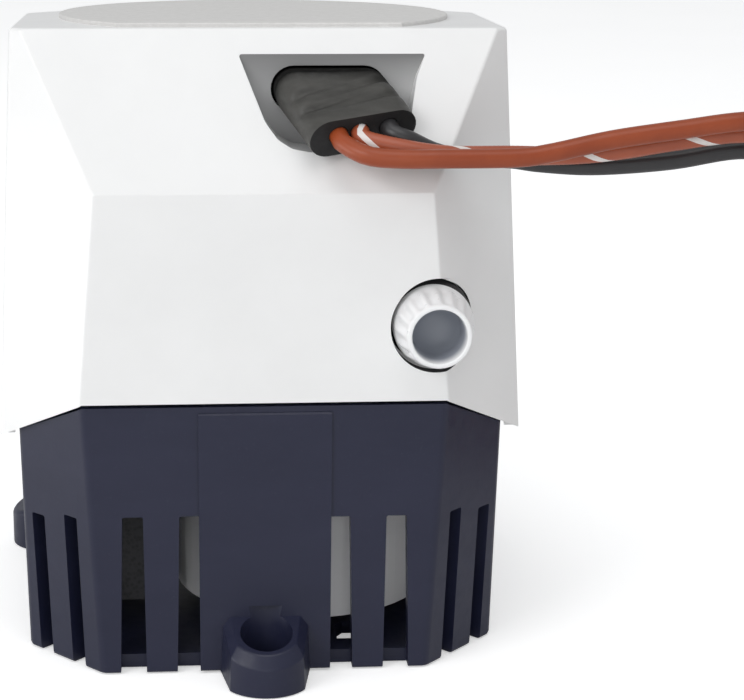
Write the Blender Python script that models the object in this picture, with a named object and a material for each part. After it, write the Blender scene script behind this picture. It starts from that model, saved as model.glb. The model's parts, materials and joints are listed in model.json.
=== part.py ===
"""Automatic bilge pump: white octagonal cover over a motor, impeller and float switch, on a slotted strainer.

Lengths below are in millimetres; finish() turns them into metres. +X is to the right as seen from the front,
+Y is away from the front (the discharge side), +Z is up. The origin is the centre of the strainer's underside.
"""

import math

import bmesh
import bpy
from mathutils import Matrix, Vector

MM = 0.001
ROOT2 = math.sqrt(2)
GAP = 0.3  # between pieces that touch

# Strainer: half widths at the underside, and how much they grow per millimetre of height
STRAINER_HX, STRAINER_HX_PER_Z = 42.5, 0.013
STRAINER_HY, STRAINER_HY_PER_Z = 44.8, 0.0076
STRAINER_SUM, STRAINER_SUM_PER_Z = 73.5, 0.06  # |x| + |y| on the corner faces
STRAINER_WALL, STRAINER_FLOOR = 2.8, 2.5
STRAINER_TOP, STRAINER_TOP_SIDE = 48.3, 39.5
LIP_TOP = 53.4
SLOT_W, SLOT_TOP, SLOT_FLARE = 3.6, 28.8, 0.5
PANEL_HALF = 11.5
FOOT_CIRCLE, FOOT_END, FOOT_HALF = 49.3, 56.3, 8.4
FOOT_HIGH, FOOT_LOW, FOOT_NOSE, FOOT_BEVEL = 10.6, 6.65, 8.05, 1.7
SCREW_HOLE_R, COUNTERBORE_R = 2.3, 4.4

# Cover
COVER_BOTTOM, COVER_BOTTOM_SIDE = 49.8, 40.9
COVER_HX, COVER_HY, COVER_SUM = 46.0, 45.9, 77.4  # at COVER_BOTTOM
LEAN_SIDE, LEAN_FRONT, LEAN_CORNER = 0.05, 0.0407, 0.126
BEND_Y, BEND_Z = -44.45, 85.5
TOP_Y, TOP_FRONT_Z = -28.2, 112.0
COVER_TOP = 111.6
COVER_WALL = 2.2

# Pump axis, float, knob and discharge
PUMP = (8.5, -14.0)
RISER = (0.0, 17.0)
STEM = (-28.0, -9.0)
ROD = (-21.0, -27.0)
KNOB_X, KNOB_Z = 28.5, 63.3
OUTLET_Z = 72.0
VOLUTE_R, CHAMBER_R, VOLUTE_Z0, VOLUTE_Z1 = 24.0, 20.0, 7.0, 33.0
CAPSULE_R, CAPSULE_BORE = 17.5, 15.6
PLATE_Z0, PLATE_Z1 = 56.0, 58.5
PLATE_SCREW = (40.2, 18.0)
WIRE_R = 1.6
COIL = (165.0, -15.0)
COIL_R, COIL_HALF = 30.0, 5.0

for old in list(bpy.data.objects):
    bpy.data.objects.remove(old)


# ---------------------------------------------------------------- helpers

def material(name, colour, roughness=0.4, metallic=0.0):
    made = bpy.data.materials.new(name)
    made.use_nodes = True
    shader = made.node_tree.nodes["Principled BSDF"]
    shader.inputs["Base Color"].default_value = (*colour, 1.0)
    shader.inputs["Roughness"].default_value = roughness
    shader.inputs["Metallic"].default_value = metallic
    return made


WHITE = material("white_plastic", (0.82, 0.82, 0.81), 0.3)
NAVY = material("navy_plastic", (0.028, 0.030, 0.065), 0.4)
GREY = material("grey_plastic", (0.45, 0.46, 0.47), 0.45)
LABEL = material("label_film", (0.52, 0.52, 0.51), 0.5)
RUBBER = material("black_rubber", (0.025, 0.025, 0.027), 0.6)
FOAM = material("black_float", (0.03, 0.03, 0.033), 0.5)
STEEL = material("stainless_steel", (0.55, 0.55, 0.56), 0.25, 1.0)
ZINC = material("zinc_steel", (0.45, 0.46, 0.48), 0.35, 1.0)
BRONZE = material("sintered_bronze", (0.50, 0.33, 0.16), 0.45, 1.0)
COPPER = material("tinned_copper", (0.72, 0.62, 0.55), 0.3, 1.0)
FERRITE = material("ferrite", (0.05, 0.05, 0.055), 0.7)
CARBON = material("carbon", (0.03, 0.03, 0.03), 0.6)
BOARD = material("circuit_board", (0.02, 0.16, 0.07), 0.4)
GLASS = material("switch_glass", (0.55, 0.60, 0.55), 0.1)
BROWN = material("brown_insulation", (0.36, 0.09, 0.04), 0.35)
STRIPE = material("striped_insulation", (0.40, 0.12, 0.06), 0.35)
BLACK = material("black_insulation", (0.02, 0.02, 0.022), 0.4)


def finish(name, bm, mat, at=(0, 0, 0), smooth=False, cutter=False):
    """Makes bm, in millimetres and part coordinates, an object whose own origin is at the point `at`."""
    bmesh.ops.recalc_face_normals(bm, faces=bm.faces)
    bmesh.ops.translate(bm, verts=bm.verts, vec=-Vector(at))
    bmesh.ops.scale(bm, verts=bm.verts, vec=(MM, MM, MM))
    mesh = bpy.data.meshes.new(name)
    bm.to_mesh(mesh)
    bm.free()
    for face in mesh.polygons:
        face.use_smooth = smooth
    obj = bpy.data.objects.new(name, mesh)
    obj.location = Vector(at) * MM
    bpy.context.collection.objects.link(obj)
    if mat:
        mesh.materials.append(mat)
    if cutter:
        obj.hide_render = True
        obj.display_type = "WIRE"
    return obj


def helper(name, bm):
    return finish("tool_" + name, bm, None, cutter=True)


def boolean(obj, other, operation="DIFFERENCE"):
    step = obj.modifiers.new(other.name, "BOOLEAN")
    step.operation = operation
    step.solver = "EXACT"
    step.object = other
    return obj


def cut(obj, *others):
    for other in others:
        boolean(obj, other)
    return obj


def join(obj, *others):
    for other in others:
        boolean(obj, other, "UNION")
    return obj


def merged(*parts):
    """One mesh out of several shells that don't meet."""
    out = bmesh.new()
    for part in parts:
        made = {v: out.verts.new(v.co) for v in part.verts}
        for face in part.faces:
            out.faces.new([made[v] for v in face.verts])
        part.free()
    return out


def convex(planes, size=400.0):
    """The solid where normal . p <= limit for every (normal, limit)."""
    bm = bmesh.new()
    bmesh.ops.create_cube(bm, size=size)
    for normal, limit in planes:
        n = Vector(normal)
        geom = list(bm.verts) + list(bm.edges) + list(bm.faces)
        bmesh.ops.bisect_plane(bm, geom=geom, plane_co=n * (limit / n.length_squared), plane_no=n,
            clear_outer=True)
        bmesh.ops.holes_fill(bm, edges=[e for e in bm.edges if e.is_boundary], sides=0)
    return bm


def loft(rings, closed_ends=True):
    """Joins rings of equal length, each a list of points, with quads."""
    bm = bmesh.new()
    rows = [[bm.verts.new(p) for p in ring] for ring in rings]
    count = len(rows[0])
    for low, high in zip(rows, rows[1:]):
        for i in range(count):
            j = (i + 1) % count
            bm.faces.new((low[i], low[j], high[j], high[i]))
    if closed_ends:
        bm.faces.new(rows[0][::-1])
        bm.faces.new(rows[-1])
    return bm


def prism(outline, axis, low, high):
    """Extrudes a 2-D outline along axis 'X', 'Y' or 'Z'; the outline's pairs are the other two coordinates."""
    def at(p, h):
        return {"X": (h, p[0], p[1]), "Y": (p[0], h, p[1]), "Z": (p[0], p[1], h)}[axis]
    return loft([[at(p, low) for p in outline], [at(p, high) for p in outline]])


def box(low, high):
    return prism([(low[0], low[1]), (high[0], low[1]), (high[0], high[1]), (low[0], high[1])], "Z",
        low[2], high[2])


def circle(radius, centre=(0.0, 0.0), steps=32, start=0.0, turn=360.0):
    full = turn >= 360.0
    count = steps if full else steps + 1
    return [
        (centre[0] + radius * math.cos(a), centre[1] + radius * math.sin(a))
        for a in (math.radians(start + turn * i / steps) for i in range(count))
    ]


def cylinder(radius, low, high, centre, axis="Z", steps=32):
    return prism(circle(radius, centre, steps), axis, low, high)


def rod(a, b, radius, steps=20):
    """A cylinder between two points."""
    a, b = Vector(a), Vector(b)
    turn = (b - a).to_track_quat("Z", "Y").to_matrix()
    ring = [turn @ Vector((x, y, 0)) for x, y in circle(radius, steps=steps)]
    return loft([[a + p for p in ring], [b + p for p in ring]])


def lathe(profile, centre, axis="Z", steps=36):
    """Turns a closed profile of (radius, height) about a line along axis through centre."""
    bm = bmesh.new()

    def at(r, h, a):
        u, v = centre[0] + r * math.cos(a), centre[1] + r * math.sin(a)
        return {"X": (h, u, v), "Y": (u, h, v), "Z": (u, v, h)}[axis]

    rows = []
    for r, h in profile:
        if r < 1e-6:
            rows.append([bm.verts.new(at(0.0, h, 0.0))] * steps)
        else:
            rows.append([bm.verts.new(at(r, h, 2 * math.pi * i / steps)) for i in range(steps)])
    for low, high in zip(rows, rows[1:] + rows[:1]):
        for i in range(steps):
            j = (i + 1) % steps
            corners = []
            for v in (low[i], low[j], high[j], high[i]):
                if v not in corners:
                    corners.append(v)
            if len(corners) > 2:
                bm.faces.new(corners)
    return bm


def octagon(hx, hy, corner):
    a, b = corner - hy, corner - hx
    return [(a, -hy), (hx, -b), (hx, b), (a, hy), (-a, hy), (-hx, b), (-hx, -b), (-a, -hy)]


def stadium(half_width, half_height, steps=8):
    """Points of a rounded bar, as (across, up)."""
    flat = half_width - half_height
    right = circle(half_height, (flat, 0.0), steps, -90.0, 180.0)
    left = circle(half_height, (-flat, 0.0), steps, 90.0, 180.0)
    return right + left


def smooth_path(points, spacing):
    """Points evenly along a Catmull-Rom curve through the given ones."""
    pts = [Vector(p) for p in points]
    pts = [2 * pts[0] - pts[1]] + pts + [2 * pts[-1] - pts[-2]]
    dense = []
    for a, b, c, d in zip(pts, pts[1:], pts[2:], pts[3:]):
        for i in range(24):
            t = i / 24
            dense.append(0.5 * (2 * b + (c - a) * t + (2 * a - 5 * b + 4 * c - d) * t**2
                                + (3 * b - a - 3 * c + d) * t**3))
    dense.append(pts[-2])
    lengths = [0.0]
    for a, b in zip(dense, dense[1:]):
        lengths.append(lengths[-1] + (b - a).length)
    count = max(2, round(lengths[-1] / spacing))
    out, k = [], 0
    for i in range(count + 1):
        want = lengths[-1] * i / count
        while k < len(lengths) - 2 and lengths[k + 1] < want:
            k += 1
        part = (want - lengths[k]) / max(1e-9, lengths[k + 1] - lengths[k])
        out.append(dense[k].lerp(dense[k + 1], min(1.0, part)))
    return out


def tube(name, points, radius, mat, resolution=2):
    """A round cord along points, as a curve with flat ends."""
    curve = bpy.data.curves.new(name, "CURVE")
    curve.dimensions = "3D"
    curve.bevel_depth = radius * MM
    curve.bevel_resolution = resolution
    curve.use_fill_caps = True
    spline = curve.splines.new("POLY")
    spline.points.add(len(points) - 1)
    for point, p in zip(spline.points, points):
        point.co = (p[0] * MM, p[1] * MM, p[2] * MM, 1.0)
    obj = bpy.data.objects.new(name, curve)
    bpy.context.collection.objects.link(obj)
    curve.materials.append(mat)
    return obj


def screw(name, at, direction, head_r, head_h, shank_r, shank_l, mat=STEEL):
    """A pan-head screw; `at` is the underside of its head and `direction` the way its shank points."""
    d = Vector(direction)
    profile = [(0, -head_h), (head_r * 0.7, -head_h), (head_r, -head_h * 0.45), (head_r, 0),
               (shank_r, 0), (shank_r, shank_l - 1.2), (0, shank_l)]
    bm = lathe(profile, (0, 0), steps=16)
    turn = d.to_track_quat("Z", "Y").to_matrix().to_4x4()
    bmesh.ops.transform(bm, matrix=Matrix.Translation(at) @ turn, verts=bm.verts)
    return finish(name, bm, mat, at=at, smooth=True)


# ---------------------------------------------------------------- strainer

def strainer_ring(z, inset=0.0):
    hx = STRAINER_HX + STRAINER_HX_PER_Z * z - inset
    hy = STRAINER_HY + STRAINER_HY_PER_Z * z - inset
    corner = STRAINER_SUM + STRAINER_SUM_PER_Z * z - inset * ROOT2
    return [(x, y, z) for x, y in octagon(hx, hy, corner)]


def dip_outline(top, side, over):
    """Outline in X and height of what lies above a rim that is level in front and falls to each side."""
    flat, wide = 31.2, 46.0
    slope = (top - side) / (wide - flat)
    far = 60.0
    low = top - slope * (far - flat)
    return [(-far, low), (-flat, top), (flat, top), (far, low), (far, over), (-far, over)]


basket = finish("strainer_basket", loft([strainer_ring(0), strainer_ring(STRAINER_TOP)]), NAVY)
cut(basket, helper("strainer_inside", loft([strainer_ring(STRAINER_FLOOR, STRAINER_WALL),
    strainer_ring(60, STRAINER_WALL)])))
rim = dip_outline(STRAINER_TOP, STRAINER_TOP_SIDE, 70.0)
cut(basket, helper("strainer_rim", merged(prism(rim, "Y", -60, -31.6), prism(rim, "Y", 31.6, 60))),
    helper("strainer_rim_sides", box((-60, -32, STRAINER_TOP_SIDE), (60, 32, 70))))
# Slots through every wall, open at the bottom and wider there


def slot_outline(middle, top):
    low, half = middle * 1.012, SLOT_W / 2
    return [(low - half - SLOT_FLARE, -1.0), (low + half + SLOT_FLARE, -1.0), (middle + half, top),
        (middle - half, top)]


slots = [prism(slot_outline(x, SLOT_TOP), "Y", -60, -(STRAINER_HY - STRAINER_WALL)) for x in (-23.0,
    -13.1, 13.1, 23.0)]
slots += [prism(slot_outline(x, SLOT_TOP), "Y", STRAINER_HY - STRAINER_WALL, 60) for x in (-23.0, -14.0,
    -5.0, 5.0, 14.0, 23.0)]
for y in (-25.5, -16.5, 11.0):
    for side in (-1, 1):
        slots.append(prism(slot_outline(y, 26.0), "X",
            *sorted((side * (STRAINER_HX - STRAINER_WALL), side * 60))))
for sx in (-1, 1):
    for sy in (-1, 1):
        for along, top in ((-3.9, 28.0), (4.7, 26.4)):
            middle = Vector((sx * 35.85, sy * 37.65, 0))
            out = Vector((sx, sy, 0)).normalized()
            across = Vector((sx, -sy, 0)).normalized()
            near, far = -STRAINER_WALL, 8.0
            c = middle + across * along
            plan = [c + out * near - across * 1.65, c + out * near + across * 1.65,
                    c + out * far + across * 1.65, c + out * far - across * 1.65]
            slots.append(prism([(p.x, p.y) for p in plan], "Z", -1, top))
cut(basket, helper("slots", merged(*slots)))
floor_slots = [box((x - 1.7, 6, -1), (x + 1.7, 12 if abs(x) > 30 else 33, 4)) for x in (-31, -23, -15, -7,
    9, 17, 25, 33)]
floor_slots += [box((x - 1.7, -33, -1), (x + 1.7, -6, 4)) for x in (-7, 1, 9)] + [box((13.4, -37.2, -1),
    (18.8, -29.2, 4))]
cut(basket, helper("floor_slots", merged(*floor_slots)))
cut(basket, helper("latch_windows", merged(
    box((-60, -9, 10), (-39, 5, 36)), box((39, -9, 10), (60, 5, 36)))))

lip = loft([strainer_ring(35, 2.6), strainer_ring(LIP_TOP, 2.6)])
join(basket, cut(helper("lip", lip), helper("lip_inside",
    loft([strainer_ring(30, 4.6), strainer_ring(60, 4.6)]))))
join(basket, helper("front_panel", prism(
    [(-43.5, 0.0), (-STRAINER_HY - 0.4, 0.0), (-STRAINER_HY - 0.4 - STRAINER_HY_PER_Z * 47, 47.0),
    (-43.5, 47.0)],
    "X", -PANEL_HALF, PANEL_HALF)))

# Feet: one in front and two behind the sides, their screws 120 degrees apart
ramp = (FOOT_HIGH - FOOT_LOW) / (FOOT_END - 44.9)


def foot_ring(inset, drop):
    """Plan of the front foot: sides that draw in, then a curved nose; drop is below the sloping top, or None at the base."""
    r, turn = FOOT_NOSE - inset, 54.0
    arc = circle(r, (0.0, -(FOOT_END - FOOT_NOSE)), 12, 270.0 - turn, 2 * turn)
    plan = [(-(FOOT_HALF - inset), -43.0)] + arc + [(FOOT_HALF - inset, -43.0)]
    return [(x, y, 0.0 if drop is None else FOOT_HIGH - ramp * (-y - 44.9) - drop) for x, y in plan]


join(basket, helper("front_foot", loft([foot_ring(0.0, None), foot_ring(0.3, FOOT_BEVEL),
    foot_ring(FOOT_BEVEL, 0.0)])))
SIDE_FOOT = (FOOT_CIRCLE * math.cos(math.radians(30)), FOOT_CIRCLE * math.sin(math.radians(30)))
for side, tag in ((-1, "left"), (1, "right")):
    centre = (side * SIDE_FOOT[0], SIDE_FOOT[1])
    outer = helper("foot_" + tag, cylinder(7.6, 0.0, 12.0, centre, steps=28))
    x0, x1 = side * 42.0, side * 70.0
    cut(outer, helper("foot_ramp_" + tag, prism(
        [(x1, 10.0 - ramp * 28), (x0, 10.0), (side * 30.0, 10.0 + ramp * 12), (side * 30.0, 30.0),
        (x1, 30.0)], "Y", 10, 40)))
    pocket = helper("pocket_" + tag, cylinder(7.6, 0.0, 25.0, centre, steps=28))
    cut(pocket, helper("pocket_trim_" + tag, box(
        (42.0 if side > 0 else -70.0, 10, -5), (70.0 if side > 0 else -42.0, 40, 40))))
    join(basket, outer, pocket)

cut(basket, helper("foot_holes", merged(*[
    cylinder(SCREW_HOLE_R, -1, 40, c, steps=20) for c in
    ((0.0, -FOOT_CIRCLE), (-SIDE_FOOT[0], SIDE_FOOT[1]), (SIDE_FOOT[0], SIDE_FOOT[1]))])))
cut(basket, helper("counterbores", merged(
    cylinder(COUNTERBORE_R, 3.0, 40, (0.0, -FOOT_CIRCLE), steps=28),
    cylinder(4.6, 3.0, 22, (-SIDE_FOOT[0], SIDE_FOOT[1]), steps=24),
    cylinder(4.6, 3.0, 22, (SIDE_FOOT[0], SIDE_FOOT[1]), steps=24))))

# Release tabs: each hinges at its lower edge and is pressed inwards
for side, tag in ((-1, "left"), (1, "right")):
    outline = [(side * 40.2, 10.4), (side * 42.65, 10.4), (side * 42.9, 29.0), (side * 44.3, 31.0),
               (side * 44.3, 33.0), (side * 42.9, 34.6), (side * 40.2, 34.6)]
    finish("release_tab_" + tag, prism(outline, "Y", -8.6, 4.6), NAVY, at=(side * 41.4, -2.0, 10.8))

# ---------------------------------------------------------------- cover


def cover_planes(inset=0.0, bottom=COVER_BOTTOM_SIDE):
    slant = Vector((0, BEND_Z - TOP_FRONT_Z, TOP_Y - BEND_Y))
    planes = [
        ((0, -1, LEAN_FRONT), COVER_HY + LEAN_FRONT * COVER_BOTTOM),
        ((0, 1, LEAN_FRONT), COVER_HY + LEAN_FRONT * COVER_BOTTOM),
        ((1, 0, LEAN_SIDE), COVER_HX + LEAN_SIDE * COVER_BOTTOM),
        ((-1, 0, LEAN_SIDE), COVER_HX + LEAN_SIDE * COVER_BOTTOM),
        (tuple(slant), slant.dot(Vector((0, BEND_Y, BEND_Z)))),
        ((0, 18.6, 8.1), 18.6 * 36 + 8.1 * COVER_TOP),
        ((1, 1, 0.986), 51 + 0.986 * COVER_TOP),
        ((-1, 1, 0.986), 51 + 0.986 * COVER_TOP),
        ((0, 0, 1), COVER_TOP),
    ]
    for sx in (-1, 1):
        for sy in (-1, 1):
            planes.append(((sx, sy, LEAN_CORNER), COVER_SUM + LEAN_CORNER * COVER_BOTTOM))
    planes = [(n, limit - inset * Vector(n).length) for n, limit in planes]
    return planes + [((0, 0, -1), -bottom)]


POCKET = [(-3.9, 107.4), (-2.4, 103.6), (0.4, 96.6), (2.5, 93.8), (4.9, 92.4), (8.0, 91.9), (16.1, 91.9),
          (21.4, 91.9), (24.2, 92.8), (25.6, 94.8), (25.9, 98.0), (26.8, 103.6), (28.2, 107.4)]
POCKET_FLOOR = -31.0
POCKET_BLOCK = [(-7.0, 112.0), (-4.8, 103.0), (-1.8, 95.4), (0.9, 91.8), (4.2, 90.1), (7.8, 89.6),
    (16.3, 89.6),
                (21.8, 89.6), (25.7, 90.9), (27.9, 94.2), (28.3, 98.0), (29.3, 103.0), (31.1, 112.0)]
GLAND_AT, GLAND_END = Vector((11.6, -31.0, 101.5)), Vector((16.5, -43.0, 95.4))

cover = finish("cover_shell", convex(cover_planes()), WHITE)
inside = helper("cover_inside", convex(cover_planes(COVER_WALL, 30.0)))
cut(inside, helper("pocket_wall", prism(POCKET_BLOCK, "Y", -60, POCKET_FLOOR + COVER_WALL)))
cut(cover, inside)
rim = dip_outline(COVER_BOTTOM, COVER_BOTTOM_SIDE, 30.0)
cut(cover, helper("cover_rim", merged(prism(rim, "Y", -60, -31.6), prism(rim, "Y", 31.6, 60))))
cut(cover, helper("pocket", prism(POCKET, "Y", -60, POCKET_FLOOR)))
hole = stadium(9.95, 3.95)
cut(cover, helper("gland_hole", prism([(GLAND_AT.x + u, GLAND_AT.z + v) for u, v in hole], "Y", -33, -26)))
guide = helper("knob_guide", cylinder(9.3, -60, -37.2, (KNOB_X, KNOB_Z), "Y", 36))
boolean(guide, helper("cover_outside", convex(cover_planes(0.6))), "INTERSECT")
join(cover, guide)
bosses = [cylinder(3.6, PLATE_Z1 + GAP, 73, (sx * PLATE_SCREW[0], sy * PLATE_SCREW[1]), steps=18)
          for sx in (-1, 1) for sy in (-1, 1)]
bosses += [cylinder(3.4, 34.5, 44.2, (x, OUTLET_Z), "Y", 18) for x in (-16, 16)]
join(cover, helper("screw_bosses", merged(*bosses)))
join(cover, helper("outlet_pad", cylinder(19.5, 43.4, 45.9, (0, OUTLET_Z), "Y", 40)))
bores = [cylinder(1.7, 50, 71.5, (sx * PLATE_SCREW[0], sy * PLATE_SCREW[1]), steps=14)
         for sx in (-1, 1) for sy in (-1, 1)]
bores += [cylinder(1.7, 36, 50, (x, OUTLET_Z), "Y", 14) for x in (-16, 16)]
bores += [cylinder(12.7, 40, 60, (0, OUTLET_Z), "Y", 40),
    cylinder(7.5, -60, -36, (KNOB_X, KNOB_Z), "Y", 40)]
cut(cover, helper("cover_bores", merged(*bores)))


def label_outline(radius, front):
    edge = math.degrees(math.asin(front / radius))
    return circle(radius, (0.0, 0.0), 44, edge, 180.0 - 2 * edge)


cut(cover, helper("label_seat", prism(label_outline(36.3, -26.6), "Z", COVER_TOP - 0.5, COVER_TOP + 5)))
finish("top_label", prism(label_outline(36.0, -26.3), "Z", COVER_TOP - 0.2, COVER_TOP + 0.8), LABEL)

# Gland: an oval rubber sleeve that leads the three wires out, forwards and down to the right
GLAND_W, GLAND_H = 9.6, 3.6
GLAND_OUT = Vector((0.3, -0.83, -0.47)).normalized()
GLAND_ACROSS = Vector((0.953, 0.280, 0.114)).normalized()


def squared(across, along):
    """Unit vectors across and up, square to along."""
    across = (across - along * across.dot(along)).normalized()
    return across, along.cross(across)


def wire_exit(across, up, out):
    a, b = squared(GLAND_ACROSS, GLAND_OUT)
    return GLAND_END + a * across + b * up + GLAND_OUT * out


def gland_ring(p, across, up, half_width=GLAND_W, half_height=GLAND_H):
    return [p + across * u + up * v for u, v in stadium(half_width, half_height)]


X, Z = Vector((1, 0, 0)), Vector((0, 0, 1))
inner = [Vector((GLAND_AT.x, y, GLAND_AT.z)) for y in (-26.0, -28.5, -32.2)]
rings = [gland_ring(inner[0], X, Z, 11.5, 5.6), gland_ring(inner[1], X, Z, 11.5, 5.6),
    gland_ring(inner[1], X, Z)]
bends = [inner[2], inner[2] + Vector((0, -3.6, 0)), GLAND_END - GLAND_OUT * 4.5, GLAND_END]
for step in range(9):
    t, s = step / 8, 1 - step / 8
    p = s**3 * bends[0] + 3 * s * s * t * bends[1] + 3 * s * t * t * bends[2] + t**3 * bends[3]
    d = s * s * (bends[1] - bends[0]) + 2 * s * t * (bends[2] - bends[1]) + t * t * (bends[3] - bends[2])
    rings.append(gland_ring(p, *squared(X.lerp(GLAND_ACROSS, t), d.normalized())))
finish("wire_gland", loft(rings), RUBBER, smooth=True)

# ---------------------------------------------------------------- chassis plate

plate = finish("chassis_plate", prism(octagon(42.9, 42.7, 72.2), "Z", PLATE_Z0, PLATE_Z1), GREY)
join(plate, helper("board_posts", merged(*[
    cylinder(2.0, PLATE_Z1 - 1, 61.7, c, steps=14) for c in ((-32, 26), (-18, 2), (-18, 26), (-32, 2))])))
cut(plate, helper("plate_holes", merged(
    cylinder(CAPSULE_R + 0.4, 50, 66, PUMP, steps=40), cylinder(10.0, 50, 66, RISER, steps=32),
    cylinder(2.2, 50, 66, ROD, steps=14), cylinder(3.4, 50, 66, STEM, steps=18),
    *[cylinder(1.7, 50, 66, (sx * PLATE_SCREW[0], sy * PLATE_SCREW[1]), steps=14) for sx in (-1,
    1) for sy in (-1, 1)])))
cut(plate, helper("plate_notch", cylinder(9.8, -60, -36.5, (KNOB_X, KNOB_Z), "Y", 32)))
for i, (sx, sy) in enumerate(((-1, -1), (1, -1), (1, 1), (-1, 1)), 1):
    screw(f"plate_screw_{i}", (sx * PLATE_SCREW[0], sy * PLATE_SCREW[1], PLATE_Z0 - GAP), (0, 0, 1), 2.6,
        1.6, 1.4, 14.5)

# ---------------------------------------------------------------- pump and motor

volute = finish("volute_housing", lathe(
    [(5.2, 28.0), (CHAMBER_R, 28.0), (CHAMBER_R, VOLUTE_Z0), (VOLUTE_R, VOLUTE_Z0), (VOLUTE_R, VOLUTE_Z1),
    (5.2, VOLUTE_Z1)],
    PUMP, steps=52), GREY)
riser = helper("riser", cylinder(9.5, 8.0, 79.5, RISER, steps=32))
join(riser, helper("elbow", cylinder(9.5, RISER[1], 36.5, (0, OUTLET_Z), "Y", 32)),
     helper("elbow_flange", cylinder(12.2, 35.6, 38.6, (0, OUTLET_Z), "Y", 32)))
chamber = helper("riser_trim", cylinder(CHAMBER_R + 1.0, 0.0, 28.0, PUMP, steps=40))
join(volute, cut(riser, chamber))
cut(volute, helper("riser_bore", cylinder(6.8, 10.5, 76.5, RISER, steps=28)),
    helper("elbow_bore", cylinder(6.6, RISER[1], 50, (0, OUTLET_Z), "Y", 28)),
    helper("volute_throat", rod((4.8, -2.0, 18.5), (0.3, 16.0, 18.5), 5.2)))
capsule_holes = [(PUMP[0] + 20.2 * math.cos(a), PUMP[1] + 20.2 * math.sin(a)) for a in map(math.radians,
    (90, 210, 330))]
cut(volute, helper("capsule_pilots", merged(*[cylinder(1.5, 28.9, 40, c,
    steps=12) for c in capsule_holes])))
finish("inlet_ring", lathe([(9.0, 7.0), (19.6, 7.0), (19.6, 9.2), (12.0, 9.2), (10.0, 11.0), (9.0, 11.0)],
    PUMP, steps=40), GREY)

wheel = finish("impeller", lathe([(1.9, 11.5), (4.5, 11.5), (4.5, 24.0), (15.0, 24.0), (15.0, 25.8),
    (1.9, 25.8)], PUMP, steps=30),
               NAVY, at=(*PUMP, 0))
vanes = []
for k in range(5):
    inner, outer = [], []
    for i in range(6):
        r = 3.6 + (14.8 - 3.6) * i / 5
        a = math.radians(72 * k + 55 * i / 5)
        for row, shift in ((inner, -0.8 / r), (outer, 0.8 / r)):
            row.append((PUMP[0] + r * math.cos(a + shift), PUMP[1] + r * math.sin(a + shift)))
    vanes.append(prism(inner + outer[::-1], "Z", 13.0, 24.6))
hub = helper("vanes", merged(*vanes))
cut(hub, helper("vane_bore", cylinder(3.0, 5, 30, PUMP, steps=24)))
join(wheel, hub)
finish("motor_shaft", lathe([(0, 11.0), (1.2, 11.0), (1.6, 11.6), (1.6, 81.6), (1.2, 82.0), (0, 82.0)],
    PUMP, steps=16),
       STEEL, at=(*PUMP, 0), smooth=True)
finish("shaft_seal", lathe([(1.95, 28.6), (4.9, 28.6), (4.9, 32.4), (3.4, 32.4), (2.6, 30.0),
    (1.95, 30.0)], PUMP, steps=20), RUBBER)
finish("capsule_gasket", lathe([(16.4, 33.3), (18.2, 33.3), (18.2, 34.0), (16.4, 34.0)], PUMP, steps=32),
    RUBBER)

capsule = finish("motor_capsule", lathe(
    [(CAPSULE_BORE, 34.3), (22.2, 34.3), (22.2, 37.0), (CAPSULE_R, 37.0), (CAPSULE_R, 58.8), (19.8, 58.8),
    (19.8, 61.3),
     (CAPSULE_R, 61.3), (CAPSULE_R, 86.0), (14.5, 89.0), (0, 89.0), (0, 86.6), (CAPSULE_BORE, 86.6)],
     PUMP, steps=40), WHITE)
cut(capsule, helper("capsule_flange_holes",
    merged(*[cylinder(1.5, 30, 40, c, steps=12) for c in capsule_holes])))
for i, c in enumerate(capsule_holes, 1):
    screw(f"capsule_screw_{i}", (*c, 37.3), (0, 0, -1), 2.2, 1.5, 1.2, 7.6)

finish("end_bell", lathe([(4.2, 36.4), (15.2, 36.4), (15.2, 39.4), (4.2, 39.4)], PUMP, steps=32), GREY)
finish("motor_can", lathe([(14.0, 39.7), (15.2, 39.7), (15.2, 80.0), (4.2, 80.0), (4.2, 78.8),
    (14.0, 78.8)], PUMP, steps=32), ZINC)
finish("bushing_lower", lathe([(1.9, 36.0), (3.9, 36.0), (3.9, 40.6), (1.9, 40.6)], PUMP, steps=20), BRONZE)
finish("bushing_upper", lathe([(1.9, 76.5), (3.9, 76.5), (3.9, 81.0), (1.9, 81.0)], PUMP, steps=20), BRONZE)
for k, tag in enumerate(("left", "right")):
    turn = 105.0 + 180.0 * k
    arc = circle(13.7, PUMP, 12, turn, 150.0) + circle(12.0, PUMP, 12, turn, 150.0)[::-1]
    finish("magnet_" + tag, prism(arc, "Z", 50.5, 75.5), FERRITE)
core = finish("rotor_core", lathe([(1.9, 52.0), (11.5, 52.0), (11.5, 74.0), (1.9, 74.0)], PUMP, steps=30),
    ZINC, at=(*PUMP, 0))
cut(core, helper("rotor_slots", merged(*[
    rod((PUMP[0] + 9.0 * math.cos(a), PUMP[1] + 9.0 * math.sin(a), 50),
    (PUMP[0] + 9.0 * math.cos(a), PUMP[1] + 9.0 * math.sin(a), 76), 1.9, 10)
    for a in (math.radians(72 * i) for i in range(5))])))
finish("commutator", lathe([(1.9, 44.2), (4.3, 44.2), (4.3, 50.6), (1.9, 50.6)], PUMP, steps=20), COPPER,
    at=(*PUMP, 0))
finish("brush_holder", lathe([(5.2, 41.0), (13.6, 41.0), (13.6, 43.6), (5.2, 43.6)], PUMP, steps=28), GREY)
for side, tag in ((-1, "left"), (1, "right")):
    x0, x1 = sorted((PUMP[0] + side * 4.7, PUMP[0] + side * 10.5))
    finish("brush_" + tag, box((x0, PUMP[1] - 1.6, 44.4), (x1, PUMP[1] + 1.6, 48.4)), CARBON)

# ---------------------------------------------------------------- float switch

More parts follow.
